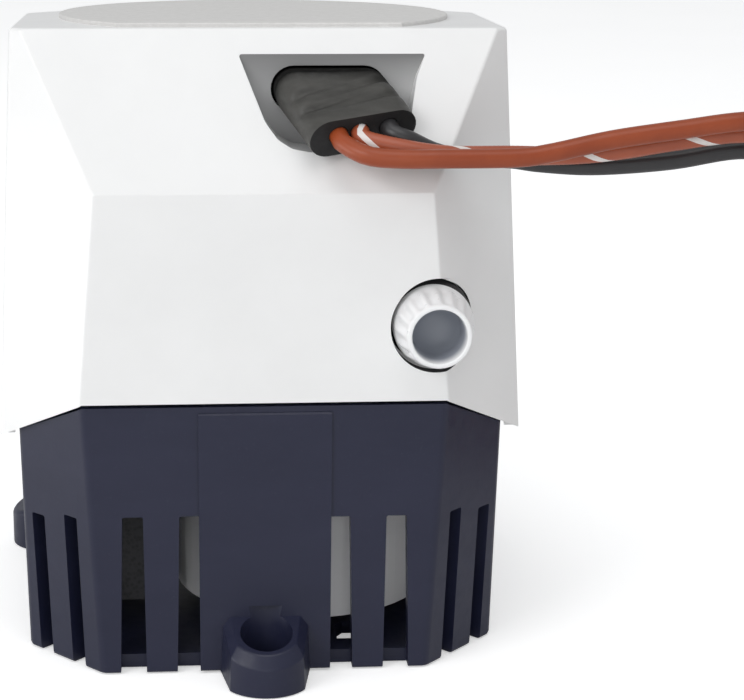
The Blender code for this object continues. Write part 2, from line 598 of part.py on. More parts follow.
float_plan = [(-33.0, -30.0), (-21.5, -30.0), (-18.5, -27.0), (-18.5, 9.0), (-21.5, 12.0), (-33.5, 12.0),
    (-36.5, 9.0), (-36.5, -26.5)]
body = finish("float_body", prism(float_plan, "Z", 8.0, 24.0), FOAM, at=(*STEM, 8.0))
join(body, helper("lift_rod", cylinder(1.4, 20.0, 67.5, ROD, steps=14)),
     helper("lift_tab", box((-23.0, -38.5, 66.7), (-16.0, -25.0, 68.9))))
cut(body, helper("float_bore", merged(cylinder(3.5, 0, 20.1, STEM, steps=20))),
    helper("magnet_pocket", cylinder(6.5, 20.0, 30, STEM, steps=24)))
finish("float_magnet", lathe([(3.6, 20.3), (6.2, 20.3), (6.2, 23.7), (3.6, 23.7)], STEM, steps=20),
    FERRITE, at=(*STEM, 8.0))
finish("float_stem", lathe([(0, 5.0), (4.8, 5.0), (4.8, 7.6), (3.0, 7.6), (3.0, 58.8), (4.6, 58.8),
    (4.6, 60.8),
                            (2.0, 60.8), (2.0, 9.0), (0, 9.0)], STEM, steps=20), GREY)
finish("reed_switch", lathe([(0, 32.0), (0.5, 32.0), (1.2, 34.0), (1.2, 46.0), (0.5, 48.0), (0, 48.0)],
    STEM, steps=12), GLASS, smooth=True)
finish("circuit_board", box((-36.0, -3.5, 62.0), (-12.5, 30.0, 63.6)), BOARD)
finish("control_relay", box((-34.0, 8.0, 63.9), (-19.0, 20.0, 75.0)), CARBON)

# ---------------------------------------------------------------- test knob

knob_axis = (KNOB_X, 0.0, KNOB_Z)
finish("test_knob", lathe(
    [(0, -28.5), (2.5, -28.5), (2.5, -38.5), (7.2, -38.5), (7.2, -40.4), (6.2, -40.4), (6.2, -42.4),
    (7.2, -42.4),
     (7.2, -46.2), (5.6, -53.7), (5.35, -54.4), (4.6, -54.4), (4.4, -53.8), (4.4, -43.5), (0, -43.5)],
    (KNOB_X, KNOB_Z), "Y", 36), WHITE, at=knob_axis)
finish("knob_seal", lathe([(6.5, -40.7), (7.2, -40.7), (7.2, -42.1), (6.5, -42.1)], (KNOB_X, KNOB_Z), "Y",
    32), RUBBER, at=knob_axis)
lifter = finish("lifter_bar", cylinder(4.0, -36.5, -33.7, (KNOB_X, KNOB_Z), "Y", 24), GREY, at=knob_axis)
join(lifter, helper("lifter_arm", box((-19.5, -36.5, 61.8), (KNOB_X, -33.7, 64.8))),
     helper("lifter_tip", box((-19.5, -36.5, 64.0), (-15.5, -33.7, 66.4))))
cut(lifter, helper("lifter_bore", cylinder(2.8, -40, -30, (KNOB_X, KNOB_Z), "Y", 20)))
coil_path = [(KNOB_X + 3.4 * math.cos(a), -33.0 + 3.4 * a / (2 * math.pi * 3.5), KNOB_Z + 3.4 * math.sin(a))
             for a in (2 * math.pi * i / 12 for i in range(43))]
tube("knob_spring", coil_path, 0.3, STEEL, 0)

# ---------------------------------------------------------------- discharge

barbs = []
for y in (63.0, 68.2, 73.4):
    barbs += [(9.1, y), (9.8, y + 0.4), (9.1, y + 4.4)]
nozzle = finish("discharge_nozzle", lathe(
    [(10.2, 40.2), (12.4, 40.2), (12.4, 46.2), (19.0, 46.2), (19.0, 49.2), (12.4, 49.2), (12.4, 57.0),
    (9.1, 60.5)] + barbs
    + [(8.4, 79.6), (7.0, 79.6), (7.0, 59.5), (10.2, 56.0)], (0, OUTLET_Z), "Y", 40), WHITE)
cut(nozzle, helper("nozzle_holes", merged(*[cylinder(1.7, 44, 52, (x, OUTLET_Z), "Y", 14) for x in (-16,
    16)])))
for x, tag in ((-16, "left"), (16, "right")):
    screw("nozzle_screw_" + tag, (x, 49.5, OUTLET_Z), (0, -1, 0), 2.6, 1.6, 1.4, 12.0)
finish("nozzle_gasket", lathe([(10.4, 38.9), (12.1, 38.9), (12.1, 39.9), (10.4, 39.9)], (0, OUTLET_Z),
    "Y", 32), RUBBER)
FLAP_Z = OUTLET_Z + 7.9
flap = finish("check_flap", cylinder(7.6, 38.95, 40.05, (0, OUTLET_Z), "Y", 28), RUBBER,
    at=(0, 39.75, FLAP_Z))
join(flap, helper("flap_barrel", cylinder(0.75, -3.5, 3.5, (39.75, FLAP_Z), "X", 12)))

# ---------------------------------------------------------------- wires

EXITS = {"brown": (-4.5, 0.4), "stripe": (-0.7, 0.4),
    "black": (4.5, 0.5)}  # across and up, on the end of the gland
ROUTES = {  # after the first 2 mm, which run straight out of the gland
    "brown": [(16.6, -49.5, 92.6), (22, -50.1, 92.2), (29.2, -50, 92.2), (41, -49.5, 92.2),
        (47, -49.3, 92.9), (57, -48.9, 94.9), (68.5, -48.7, 96.5), (79, -48.5, 97.8), (90, -48.1, 97.9),
        (100, -47.5, 94.4), (108.5, -46.7, 86.4), (114.5, -45.7, 73), (118.3, -44.5, 56), (121, -42.8, 39),
        (123.6, -39.8, 24.5), (126.2, -35.2, 15.2), (127.9, -29, 10.9), (128.2, -22, 9.5)],
    "stripe": [(22.5, -46.8, 93.4), (30, -46.4, 92.2), (41, -45.8, 91.1), (50.8, -45.4, 91.1),
        (59, -45.3, 92.4), (68.6, -45.2, 93.8), (79, -45, 95.1), (89.5, -44.6, 94.4), (98.6, -44.1, 90.9),
        (106, -43.4, 83.2), (111.2, -42.4, 70.8), (114.8, -41.2, 55), (117.6, -39.3, 38),
        (120.6, -36.3, 22.5), (123.8, -32, 11.4), (126.6, -27.4, 6.9), (128.2, -22, 5.6)],
    "black": [(23.9, -43.9, 95.1), (27.4, -43.1, 93.7), (31.1, -42.5, 92.6), (36.2, -42.4, 91.2),
        (41.8, -42.2, 90), (46.7, -42, 89.2), (54.3, -41.7, 88.5), (67, -41.6, 89.8), (80.5, -41.3, 92),
        (89, -41, 91), (97, -40.6, 87.2),
        (103.6, -40, 79.6), (108, -39.1, 68.4), (111.4, -38, 53.4), (114.2, -36.2, 36.6),
        (117.2, -33.4, 19.6), (120.8, -29.4, 7.6), (124.6, -25.4, 2.7), (128.2, -22, 1.75)],
}
COATS = {"brown": BROWN, "stripe": STRIPE, "black": BLACK}
for name, route in ROUTES.items():
    path = [wire_exit(*EXITS[name], GAP)] + smooth_path([wire_exit(*EXITS[name], 2.2)] + route, 6.0)
    tube("wire_" + name, path, WIRE_R, COATS[name])

h = COIL_HALF
coil_profile = [(COIL_R - h, 2.3), (COIL_R - h + 1.4, 0.9), (COIL_R + h - 1.4, 0.9), (COIL_R + h, 2.3),
                (COIL_R + h, 9.2), (COIL_R + h - 1.4, 10.6), (COIL_R - h + 1.4, 10.6), (COIL_R - h, 9.2)]
finish("wire_coil", lathe(coil_profile, COIL, steps=44), BROWN, smooth=True)

# The strap round the coil, across it at TIE_ANGLE
TIE_ANGLE = math.radians(-35)


def strap_frame(r, z, along):
    out = Vector((math.cos(TIE_ANGLE), math.sin(TIE_ANGLE), 0))
    side = Vector((-out.y, out.x, 0))
    return Vector((*COIL, 0)) + out * r + side * along + Vector((0, 0, z))


def strap_loop(grow, z0, z1):
    a, b, c = COIL_R - h - grow, COIL_R + h + grow, 1.4
    return [(a, z0 + c), (a + c, z0), (b - c, z0), (b, z0 + c), (b, z1 - c), (b - c, z1), (a + c, z1),
        (a, z1 - c)]


strap = loft([[strap_frame(r, z, s) for r, z in strap_loop(0.95, 0.05, 11.5)] for s in (-3.5, 3.5)])
strap = finish("coil_strap", strap, RUBBER)
cut(strap, helper("strap_inside", loft([[strap_frame(r, z, s) for r,
    z in strap_loop(0.35, 0.57, 10.95)] for s in (-6, 6)])))



def tail_route(level, hold):
    """From the last turn, hold degrees along the coil's inner side, then in towards its middle and down."""
    points = []
    for i in range(13):
        a = (hold + 100) * i / 12
        inward = max(0.0, a - hold) / 100
        fall = min(1.0, max(0.0, (a - max(0.0, hold - 45)) / (45.0 if hold else 20.0)))
        r, turn = COIL_R - h - 1.9 - 11.0 * inward**1.2, math.radians(178 - a)
        z = level + (1.65 - level) * fall * fall * (3 - 2 * fall)
        points.append((COIL[0] + r * math.cos(turn), COIL[1] + r * math.sin(turn), z))
    return points


for name, level, hold in (("black", 1.75, 0), ("stripe", 5.4, 60), ("brown", 9.05, 120)):
    path = smooth_path(tail_route(level, hold), 5.0)
    tube("wire_end_" + name, path, WIRE_R, COATS[name])
    d = (path[-1] - path[-2]).normalized()
    start = path[-1] + d * GAP
    finish("bare_tip_" + name, rod(start, start + d * 8.0, 1.0, 12), COPPER)
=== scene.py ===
"""Looks for the automatic bilge pump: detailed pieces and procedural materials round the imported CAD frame.

Lengths in the building code are millimetres in the part's frame; as_object() turns them into metres.
+X is to the right seen from the front, +Y is away from the front, +Z is up.
"""
import json
from math import acos, asin, atan2, cos, degrees, exp, hypot, pi, radians, sin, sqrt, tan

import bmesh
import bpy
from mathutils import Matrix, Vector


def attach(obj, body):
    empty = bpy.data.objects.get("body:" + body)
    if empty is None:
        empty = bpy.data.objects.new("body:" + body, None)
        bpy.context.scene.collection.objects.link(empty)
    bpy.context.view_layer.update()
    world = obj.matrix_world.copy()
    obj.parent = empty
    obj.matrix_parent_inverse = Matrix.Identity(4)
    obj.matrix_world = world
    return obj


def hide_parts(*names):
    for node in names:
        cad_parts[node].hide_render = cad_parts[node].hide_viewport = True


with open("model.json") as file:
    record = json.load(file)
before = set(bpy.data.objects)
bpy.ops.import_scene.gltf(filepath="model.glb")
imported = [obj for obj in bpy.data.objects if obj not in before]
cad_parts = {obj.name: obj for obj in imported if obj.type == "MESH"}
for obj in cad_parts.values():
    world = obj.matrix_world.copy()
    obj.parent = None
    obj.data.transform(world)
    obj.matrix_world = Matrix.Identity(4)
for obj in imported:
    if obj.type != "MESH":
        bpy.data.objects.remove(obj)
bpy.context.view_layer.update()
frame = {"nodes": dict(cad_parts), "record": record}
NODES = frame["nodes"]
scene = bpy.context.scene
MM = 0.001
ROOT2 = sqrt(2)
for leftover in ("Cube", "Light", "Camera"):
    if leftover in bpy.data.objects:
        bpy.data.objects.remove(bpy.data.objects[leftover])


# ---- camera

CAMERA_AT, CAMERA_TURN = (-0.0139, -0.342, 0.136), (0.0653, 0.2536, 0.0036)  # metres; yaw, pitch, roll
SENSOR, LENS, SHIFT_X = 36.0, 87.6, 0.1


def make_camera():
    yaw, pitch, roll = CAMERA_TURN
    forward = Vector((sin(yaw) * cos(pitch), cos(yaw) * cos(pitch), -sin(pitch)))
    right = Vector((cos(yaw), -sin(yaw), 0))
    up = right.cross(forward)
    tilted = cos(roll) * right + sin(roll) * up
    upright = -sin(roll) * right + cos(roll) * up
    data = bpy.data.cameras.new("camera")
    camera = bpy.data.objects.new("camera", data)
    scene.collection.objects.link(camera)
    turn = Matrix((tilted, upright, -forward)).transposed()
    camera.matrix_world = Matrix.Translation(CAMERA_AT) @ turn.to_4x4()
    data.sensor_width, data.lens, data.shift_x = SENSOR, LENS, SHIFT_X
    data.clip_start, data.clip_end = 0.01, 20.0
    scene.camera = camera


make_camera()


# ---- materials

class Nodes:
    """A Principled material being built up from procedural nodes in object coordinates."""

    def __init__(self, name, roughness=0.4, metallic=0.0, coat=0.0, specular=0.5):
        self.made = bpy.data.materials.new(name)
        self.made.use_nodes = True
        self.tree = self.made.node_tree
        self.shader = self.tree.nodes["Principled BSDF"]
        self.shader.inputs["Roughness"].default_value = roughness
        self.shader.inputs["Metallic"].default_value = metallic
        self.shader.inputs["Coat Weight"].default_value = coat
        self.shader.inputs["Specular IOR Level"].default_value = specular
        self.place = self.tree.nodes.new("ShaderNodeTexCoord").outputs["Object"]
        self.height = None

    def node(self, kind, **values):
        made = self.tree.nodes.new("ShaderNode" + kind)
        for key, value in values.items():
            if key in made.inputs:
                made.inputs[key].default_value = value
            else:
                setattr(made, key, value)
        return made

    def link(self, a, b):
        self.tree.links.new(a, b)

    def noise(self, scale, detail=3.0, roughness=0.5, stretch=None):
        made = self.node("TexNoise", Scale=scale, Detail=detail, Roughness=roughness)
        place = self.place
        if stretch:
            mapping = self.node("Mapping")
            mapping.inputs["Scale"].default_value = stretch
            self.link(place, mapping.inputs["Vector"])
            place = mapping.outputs["Vector"]
        self.link(place, made.inputs["Vector"])
        return made.outputs["Fac"]

    def cells(self, scale, distance="EUCLIDEAN"):
        made = self.node("TexVoronoi", Scale=scale, distance=distance)
        self.link(self.place, made.inputs["Vector"])
        return made.outputs["Distance"]

    def spread(self, source, low, high, start=0.3, end=0.7):
        """The source, with start to end stretched over low to high."""
        made = self.node("MapRange")
        for key, value in (("From Min", start), ("From Max", end), ("To Min", low), ("To Max", high)):
            made.inputs[key].default_value = value
        self.link(source, made.inputs["Value"])
        return made.outputs["Result"]

    def blend(self, factor, a, b):
        """Colour a where factor is 0 and b where it is 1; each is a colour or a socket."""
        made = self.node("Mix", data_type="RGBA")
        self.link(factor, made.inputs[0])
        for socket, value in ((made.inputs[6], a), (made.inputs[7], b)):
            if isinstance(value, tuple):
                socket.default_value = (*value, 1.0)
            else:
                self.link(value, socket)
        return made.outputs[2]

    def mottle(self, source, a, b, *ends):
        """Colour that drifts from a to b as the source goes from one end to the other."""
        return self.blend(self.spread(source, 0.0, 1.0, *ends), a, b)

    def fade(self, axis, start, end):
        """0 at start and 1 at end along one axis of the piece, both in mm."""
        split = self.node("SeparateXYZ")
        self.link(self.place, split.inputs[0])
        return self.spread(split.outputs[axis], 0.0, 1.0, start * MM, end * MM)

    def colour(self, source):
        if isinstance(source, tuple):
            self.shader.inputs["Base Color"].default_value = (*source, 1.0)
        else:
            self.link(source, self.shader.inputs["Base Color"])
        return self

    def rough(self, source):
        self.link(source, self.shader.inputs["Roughness"])
        return self

    def bump(self, source, distance, strength=1.0):
        made = self.node("Bump", Strength=strength, Distance=distance)
        self.link(source, made.inputs["Height"])
        if self.height:
            self.link(self.height, made.inputs["Normal"])
        self.height = made.outputs["Normal"]
        self.link(self.height, self.shader.inputs["Normal"])
        return self


def plastic(name, light, dark, rough, grain=2600.0, depth=0.00001, coat=0.0, blotch=55.0, specular=0.5):
    """Moulded plastic: a slow drift of tone, a fine mould grain, and gloss that varies a little."""
    m = Nodes(name, rough, coat=coat, specular=specular)
    slow = m.noise(blotch, 4.0, 0.55)
    m.colour(m.mottle(slow, light, dark))
    m.rough(m.spread(m.noise(380.0, 5.0, 0.6), rough - 0.05, rough + 0.07))
    m.bump(m.noise(grain, 2.0, 0.5), depth, 0.6)
    m.bump(m.noise(120.0, 2.0), depth * 2.5, 0.35)
    return m.made


def metal(name, light, dark, rough, stretch=(1.0, 1.0, 1.0), scale=700.0):
    """Metal with fine marks, drawn out along the axes that stretch makes small."""
    m = Nodes(name, rough, metallic=1.0)
    fine = m.noise(scale, 6.0, 0.65, stretch)
    m.colour(m.mottle(fine, light, dark))
    m.rough(m.spread(m.noise(scale * 0.6, 4.0, 0.6, stretch), rough - 0.08, rough + 0.14))
    m.bump(fine, 0.000008, 0.5)
    return m.made


def navy_plastic():
    """Dark plastic with a spark texture, faint flow marks and dusty high spots."""
    m = Nodes("navy_moulded", 0.36, specular=0.36)
    flow = m.noise(38.0, 5.0, 0.6, (1.0, 1.0, 3.0))
    base = m.mottle(flow, (0.0165, 0.0185, 0.043), (0.0125, 0.0145, 0.036))
    dust = m.noise(1500.0, 3.0, 0.7)
    m.colour(m.blend(m.spread(dust, 0.0, 0.25, 0.62, 0.78), base, (0.055, 0.056, 0.085)))
    m.rough(m.spread(m.noise(420.0, 4.0, 0.6), 0.30, 0.46))
    m.bump(m.noise(2300.0, 2.0, 0.5), 0.000014, 0.7)
    m.bump(m.noise(90.0, 2.0, 0.5), 0.00004, 0.25)
    return m.made


def recess_painted_shade():
    """The wall of the wire recess: grey, with painted shade that makes it darker under its roof and paler
    towards the right.
    """
    m = Nodes("recess_grey_painted_shade", 0.32)
    # painted shade: paler towards the right, and darker under the recess roof
    base = m.blend(m.fade("X", 8.0, 28.0), (0.37, 0.37, 0.372), (0.60, 0.60, 0.60))
    base = m.blend(m.fade("Z", 101.5, 107.0), base, (0.21, 0.21, 0.21))
    m.colour(m.blend(m.spread(m.noise(90.0, 4.0), 0.0, 0.10), base, (0.1, 0.1, 0.1)))
    m.bump(m.noise(2400.0, 2.0, 0.5), 0.00001, 0.6)
    return m.made


def knob_bore_painted_shade():
    """The inside of the knob: white near the lip, with painted shade that turns it slate grey deeper in."""
    m = Nodes("knob_bore_painted_shade", 0.34)
    deep = m.mottle(m.noise(110.0, 4.0), (0.34, 0.36, 0.405), (0.305, 0.325, 0.37))
    # painted shade: white at the lip, slate grey deeper in the bore
    m.colour(m.blend(m.fade("Y", -51.2, -49.2), (0.87, 0.87, 0.875), deep))
    m.bump(m.noise(2600.0, 2.0, 0.5), 0.00001, 0.6)
    return m.made


def rubber(name, tone, rough=0.58, grain=1700.0, root=None):
    """Worn rubber; root is the pair of Y positions between which painted shade darkens it towards the wall
    and dulls its gloss.
    """
    m = Nodes(name, rough, specular=0.4)
    slow = m.noise(140.0, 4.0, 0.6, (0.4, 1.0, 1.8))
    shade = m.mottle(slow, tuple(c * 0.8 for c in tone), tuple(c * 2.2 for c in tone))
    if root:
        # painted shade at the gland's root: darker and less glossy towards the wall
        near = m.fade("Y", *root)
        shade = m.blend(near, shade, tuple(c * 0.15 for c in tone))
        m.link(m.spread(near, 0.4, 0.03, 0.0, 1.0), m.shader.inputs["Specular IOR Level"])
    m.colour(shade)
    m.rough(m.spread(m.noise(600.0, 4.0, 0.6), rough - 0.1, rough + 0.1))
    m.bump(m.noise(grain, 3.0, 0.6), 0.00002, 0.7)
    return m.made


def board():
    """Green solder resist over copper tracks: a squared-off cell pattern for the tracks."""
    m = Nodes("board_resist", 0.35, coat=0.3)
    cells = m.cells(420.0, "MANHATTAN")
    m.colour(m.mottle(cells, (0.020, 0.17, 0.07), (0.03, 0.26, 0.10), 0.30, 0.42))
    m.bump(cells, 0.00003, 0.3)
    return m.made


def foam():
    """The float's closed-cell skin."""
    m = Nodes("float_skin", 0.55)
    cells = m.cells(1300.0)
    m.colour(m.mottle(cells, (0.02, 0.02, 0.022), (0.045, 0.045, 0.05), 0.1, 0.6))
    m.bump(cells, 0.00008, 0.5)
    return m.made


def glass():
    """The greenish tube of the reed switch."""
    m = Nodes("reed_glass", 0.08)
    m.shader.inputs["Transmission Weight"].default_value = 0.85
    m.colour(m.mottle(m.noise(300.0), (0.72, 0.80, 0.74), (0.62, 0.72, 0.66)))
    m.bump(m.noise(220.0), 0.00001, 0.4)
    return m.made


def label_film():
    """The satin film of the round plate in the top."""
    m = Nodes("label_plate", 0.5)
    m.colour(m.mottle(m.noise(900.0, 4.0, 0.6), (0.69, 0.68, 0.665), (0.63, 0.62, 0.605)))
    m.rough(m.spread(m.noise(500.0, 3.0), 0.42, 0.56))
    m.bump(m.noise(3000.0, 2.0), 0.000006, 0.5)
    return m.made


WHITE = plastic("white_moulded", (0.845, 0.845, 0.842), (0.815, 0.815, 0.812), 0.34, 2400.0, 0.000008)
KNOB = plastic("knob_white", (0.88, 0.88, 0.885), (0.86, 0.86, 0.865), 0.30, 2600.0, 0.000001)
BORE_PAINTED_SHADE = knob_bore_painted_shade()
# the recess wall's grey, with its painted shade
RECESS_PAINTED_SHADE = recess_painted_shade()
# near-black painted shade for the wall of the knob's hole and the knob's skirt inside it
DARK_PAINTED_SHADE = plastic("shaded_plastic", (0.045, 0.045, 0.047), (0.03, 0.03, 0.032), 0.6, specular=0.15)
WHITE_IN = plastic("white_capsule", (0.74, 0.75, 0.76), (0.69, 0.70, 0.71), 0.38)
NAVY = navy_plastic()
PALE = plastic("pale_grey_moulded", (0.60, 0.61, 0.63), (0.55, 0.56, 0.58), 0.40)
BRIGHT = plastic("pale_housing", (0.90, 0.90, 0.91), (0.86, 0.86, 0.87), 0.36)
LABEL = label_film()
# the gland's rubber, with painted shade at its root by the wall
RUBBER = rubber("black_rubber_moulded", (0.033, 0.032, 0.029), 0.5, root=(-37.2, -34.6))
FACE = rubber("black_rubber_cut", (0.007, 0.007, 0.0075), 0.7, 1100.0)
SEAL = rubber("seal_rubber", (0.014, 0.014, 0.015), 0.5, 2500.0)
FOAM = foam()
STEEL = metal("stainless_turned", (0.60, 0.60, 0.60), (0.50, 0.50, 0.51), 0.28, (1, 1, 6))
ZINC = metal("zinc_plated", (0.52, 0.53, 0.55), (0.44, 0.45, 0.47), 0.36)
BRONZE = metal("bronze_sintered", (0.50, 0.34, 0.18), (0.36, 0.23, 0.11), 0.5, scale=1600.0)
COPPER = metal("copper_tinned", (0.66, 0.55, 0.46), (0.56, 0.44, 0.34), 0.34, (1, 1, 1), 1200.0)
FERRITE = rubber("ferrite_pressed", (0.045, 0.045, 0.05), 0.72, 1300.0)
CARBON = plastic("black_moulded", (0.035, 0.035, 0.037), (0.025, 0.025, 0.027), 0.45)
BOARD = board()
GLASS = glass()
PVC_GRAIN = 1500.0
BROWN = plastic("brown_pvc", (0.335, 0.066, 0.019), (0.265, 0.047, 0.013), 0.36, PVC_GRAIN,
                blotch=110.0, specular=0.4)
STRIPED = plastic("brown_pvc_light", (0.40, 0.095, 0.042), (0.33, 0.072, 0.030), 0.33, PVC_GRAIN,
                  blotch=110.0)
STRIPE = plastic("white_stripe_pvc", (0.80, 0.76, 0.74), (0.70, 0.66, 0.63), 0.36, PVC_GRAIN)
BLACK = plastic("black_pvc", (0.022, 0.022, 0.024), (0.034, 0.033, 0.035), 0.36, PVC_GRAIN, blotch=120.0)

FINISHES = {
    "white_plastic": WHITE_IN, "navy_plastic": NAVY, "grey_plastic": PALE, "label_film": LABEL,
    "black_rubber": SEAL, "black_float": FOAM, "stainless_steel": STEEL, "zinc_steel": ZINC,
    "sintered_bronze": BRONZE, "tinned_copper": COPPER, "ferrite": FERRITE, "carbon": CARBON,
    "circuit_board": BOARD, "switch_glass": GLASS, "brown_insulation": BROWN,
    "striped_insulation": STRIPED, "black_insulation": BLACK,
}
OWN_FINISH = {"volute_housing": BRIGHT}  # nodes that differ from the rest of their record slot
for row in frame["record"]["subparts"]:
    node = NODES[row["node"]]
    node.data.materials.clear()
    node.data.materials.append(OWN_FINISH.get(row["node"], FINISHES[row["material_slot"]]))


# ---- building helpers (millimetres)

def loft(rings):
    """A closed solid through rings that have the same number of points."""
    bm = bmesh.new()
    rows = [[bm.verts.new(p) for p in ring] for ring in rings]
    count = len(rows[0])
    for low, high in zip(rows, rows[1:]):
        for i in range(count):
            j = (i + 1) % count
            bm.faces.new((low[i], low[j], high[j], high[i]))
    bm.faces.new(rows[0][::-1])
    bm.faces.new(rows[-1])
    return bm


def prism(outline, axis, low, high):
    def at(p, h):
        return {"X": (h, p[0], p[1]), "Y": (p[0], h, p[1]), "Z": (p[0], p[1], h)}[axis]
    return loft([[at(p, low) for p in outline], [at(p, high) for p in outline]])


def box(low, high):
    outline = [(low[0], low[1]), (high[0], low[1]), (high[0], high[1]), (low[0], high[1])]
    return prism(outline, "Z", low[2], high[2])


def circle(radius, centre=(0.0, 0.0), steps=48, start=0.0, turn=360.0):
    count = steps if turn >= 360.0 else steps + 1
    return [(centre[0] + radius * cos(a), centre[1] + radius * sin(a))
            for a in (radians(start + turn * i / steps) for i in range(count))]


def cylinder(radius, low, high, centre, axis="Z", steps=48):
    return prism(circle(radius, centre, steps), axis, low, high)


def lathe(profile, centre, axis="Z", steps=64, ripple=None):
    """Turns a closed profile of (radius, height); ripple(r, h, angle) may change the radius."""
    bm = bmesh.new()

    def at(r, h, a):
        if ripple:
            r = ripple(r, h, a)
        u, v = centre[0] + r * cos(a), centre[1] + r * sin(a)
        return {"X": (h, u, v), "Y": (u, h, v), "Z": (u, v, h)}[axis]

    rows = []
    for r, h in profile:
        if r < 1e-6:
            rows.append([bm.verts.new(at(0.0, h, 0.0))] * steps)
        else:
            rows.append([bm.verts.new(at(r, h, 2 * pi * i / steps)) for i in range(steps)])
    for low, high in zip(rows, rows[1:] + rows[:1]):
        for i in range(steps):
            j = (i + 1) % steps
            corners = []
            for v in (low[i], low[j], high[j], high[i]):
                if v not in corners:
                    corners.append(v)
            if len(corners) > 2:
                bm.faces.new(corners)
    return bm


def rounded(points, radius, steps=5):
    """A closed 2-D outline with its corners rounded; radius is a number or one per corner."""
    out, count = [], len(points)
    for i, p in enumerate(points):
        r = radius[i] if isinstance(radius, (list, tuple)) else radius
        p, a, b = Vector(p), Vector(points[i - 1]), Vector(points[(i + 1) % count])
        da, db = (a - p).normalized(), (b - p).normalized()
        half = acos(max(-1.0, min(1.0, da.dot(db)))) / 2
        if r < 1e-4 or abs(half - pi / 2) < 0.03:
            out.append(tuple(p))
            continue
        reach = min(r / tan(half), (a - p).length * 0.48, (b - p).length * 0.48)
        r = reach * tan(half)
        centre = p + (da + db).normalized() * (r / sin(half))
        start, end = p + da * reach - centre, p + db * reach - centre
        turn = start.angle_signed(end)
        for k in range(steps + 1):
            c, s = cos(-turn * k / steps), sin(-turn * k / steps)
            out.append((centre.x + c * start.x - s * start.y, centre.y + s * start.x + c * start.y))
    return out


def merged(*parts):
    """Solids that stand clear of each other, as one mesh."""
    out = bmesh.new()
    for part in parts:
        made = {v: out.verts.new(v.co) for v in part.verts}
        for face in part.faces:
            out.faces.new([made[v] for v in face.verts])
        part.free()
    return out


def as_object(name, bm):
    bmesh.ops.recalc_face_normals(bm, faces=bm.faces)
    bmesh.ops.scale(bm, verts=bm.verts, vec=(MM, MM, MM))
    mesh = bpy.data.meshes.new(name)
    bm.to_mesh(mesh)
    bm.free()
    obj = bpy.data.objects.new(name, mesh)
    scene.collection.objects.link(obj)
    return obj


def taken(obj):
    """The mesh of a helper object, back in millimetres; the object itself goes."""
    bm = bmesh.new()
    bm.from_mesh(obj.data)
    bmesh.ops.scale(bm, verts=bm.verts, vec=(1 / MM,) * 3)
    bpy.data.objects.remove(obj)
    return bm


def carve(obj, *steps):
    """Applies Booleans one after another; each step is ("cut" | "join" | "keep", bmesh)."""
    kinds = {"cut": "DIFFERENCE", "join": "UNION", "keep": "INTERSECT"}
    for what, bm in steps:
        other = as_object("tool", bm)
        step = obj.modifiers.new("step", "BOOLEAN")
        step.operation, step.solver, step.object = kinds[what], "EXACT", other
        apply(obj)
        bpy.data.objects.remove(other)
    return obj


def apply(obj):
    """Turns the modified shape into the object's own mesh."""
    bpy.context.view_layer.update()
    made = bpy.data.meshes.new_from_object(obj.evaluated_get(bpy.context.evaluated_depsgraph_get()))
    old, name = obj.data, obj.data.name
    obj.modifiers.clear()
    obj.data = made
    bpy.data.meshes.remove(old)
    made.name = name


def soften(obj, width, shortest):
    """Rounds a carved mesh's edges that are sharper than 40 degrees and longer than `shortest`, all in mm."""
    bm = bmesh.new()
    bm.from_mesh(obj.data)
    bmesh.ops.remove_doubles(bm, verts=bm.verts, dist=0.00002)
    bmesh.ops.dissolve_limit(bm, angle_limit=radians(0.6), verts=bm.verts, edges=bm.edges)
    edges = [e for e in bm.edges if len(e.link_faces) == 2 and e.calc_face_angle(0) > radians(40.0)
             and e.calc_length() > shortest * MM]
    bmesh.ops.bevel(bm, geom=edges, offset=width * MM, offset_type="OFFSET", segments=2, profile=0.5,
                    affect="EDGES", clamp_overlap=True, harden_normals=False)
    bm.to_mesh(obj.data)
    bm.free()
    return obj


def repaint(obj, index, test):
    """Gives another of the object's materials to the faces whose middle (mm) and normal pass the test."""
    for face in obj.data.polygons:
        if test(face.center / MM, face.normal):
            face.material_index = index


def dress(obj, mat, body, slot, *stands_for, angle=32.0, weighted=True):
    """Gives a finished mesh its material, smooth shading and body; slot is not used."""
    for m in mat if isinstance(mat, (list, tuple)) else (mat,):
        obj.data.materials.append(m)
    obj.data.polygons.foreach_set("use_smooth", [True] * len(obj.data.polygons))
    obj.data.set_sharp_from_angle(angle=radians(angle))
    if weighted:
        step = obj.modifiers.new("weighted", "WEIGHTED_NORMAL")
        step.keep_sharp = True
    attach(obj, body)
    if stands_for:
        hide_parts(*stands_for)
    return obj


# ---- strainer

# half width, half depth and corner limit (x + y) at the foot, each with its growth per mm of height
S_HX, S_HX_Z, S_HY, S_HY_Z, S_SUM, S_SUM_Z = 42.5, 0.013, 44.8, 0.0076, 73.5, 0.06
S_WALL, S_FLOOR, S_TOP, S_TOP_SIDE, LIP_TOP = 2.8, 2.5, 49.0, 40.2, 53.4
SLOT_W, SLOT_TOP, SLOT_FLARE = 3.6, 28.8, 0.5
LEVEL_X, LEVEL_Y = 31.2, 31.6  # how far the rims of strainer and cover stay level, to each side and in depth
FOOT_AT, FOOT_ROOT, FOOT_END, FOOT_HIGH, FOOT_LOW = 49.3, 44.9, 56.3, 10.6, 6.65
FOOT_FALL = (FOOT_HIGH - FOOT_LOW) / (FOOT_END - FOOT_ROOT)  # how much a foot's top falls per mm outwards
SIDE_FOOT_R, SIDE_HOLES = 7.6, ((-42.695, 24.65), (42.695, 24.65))
FAR = 60.0  # past the whole cover, for cutters


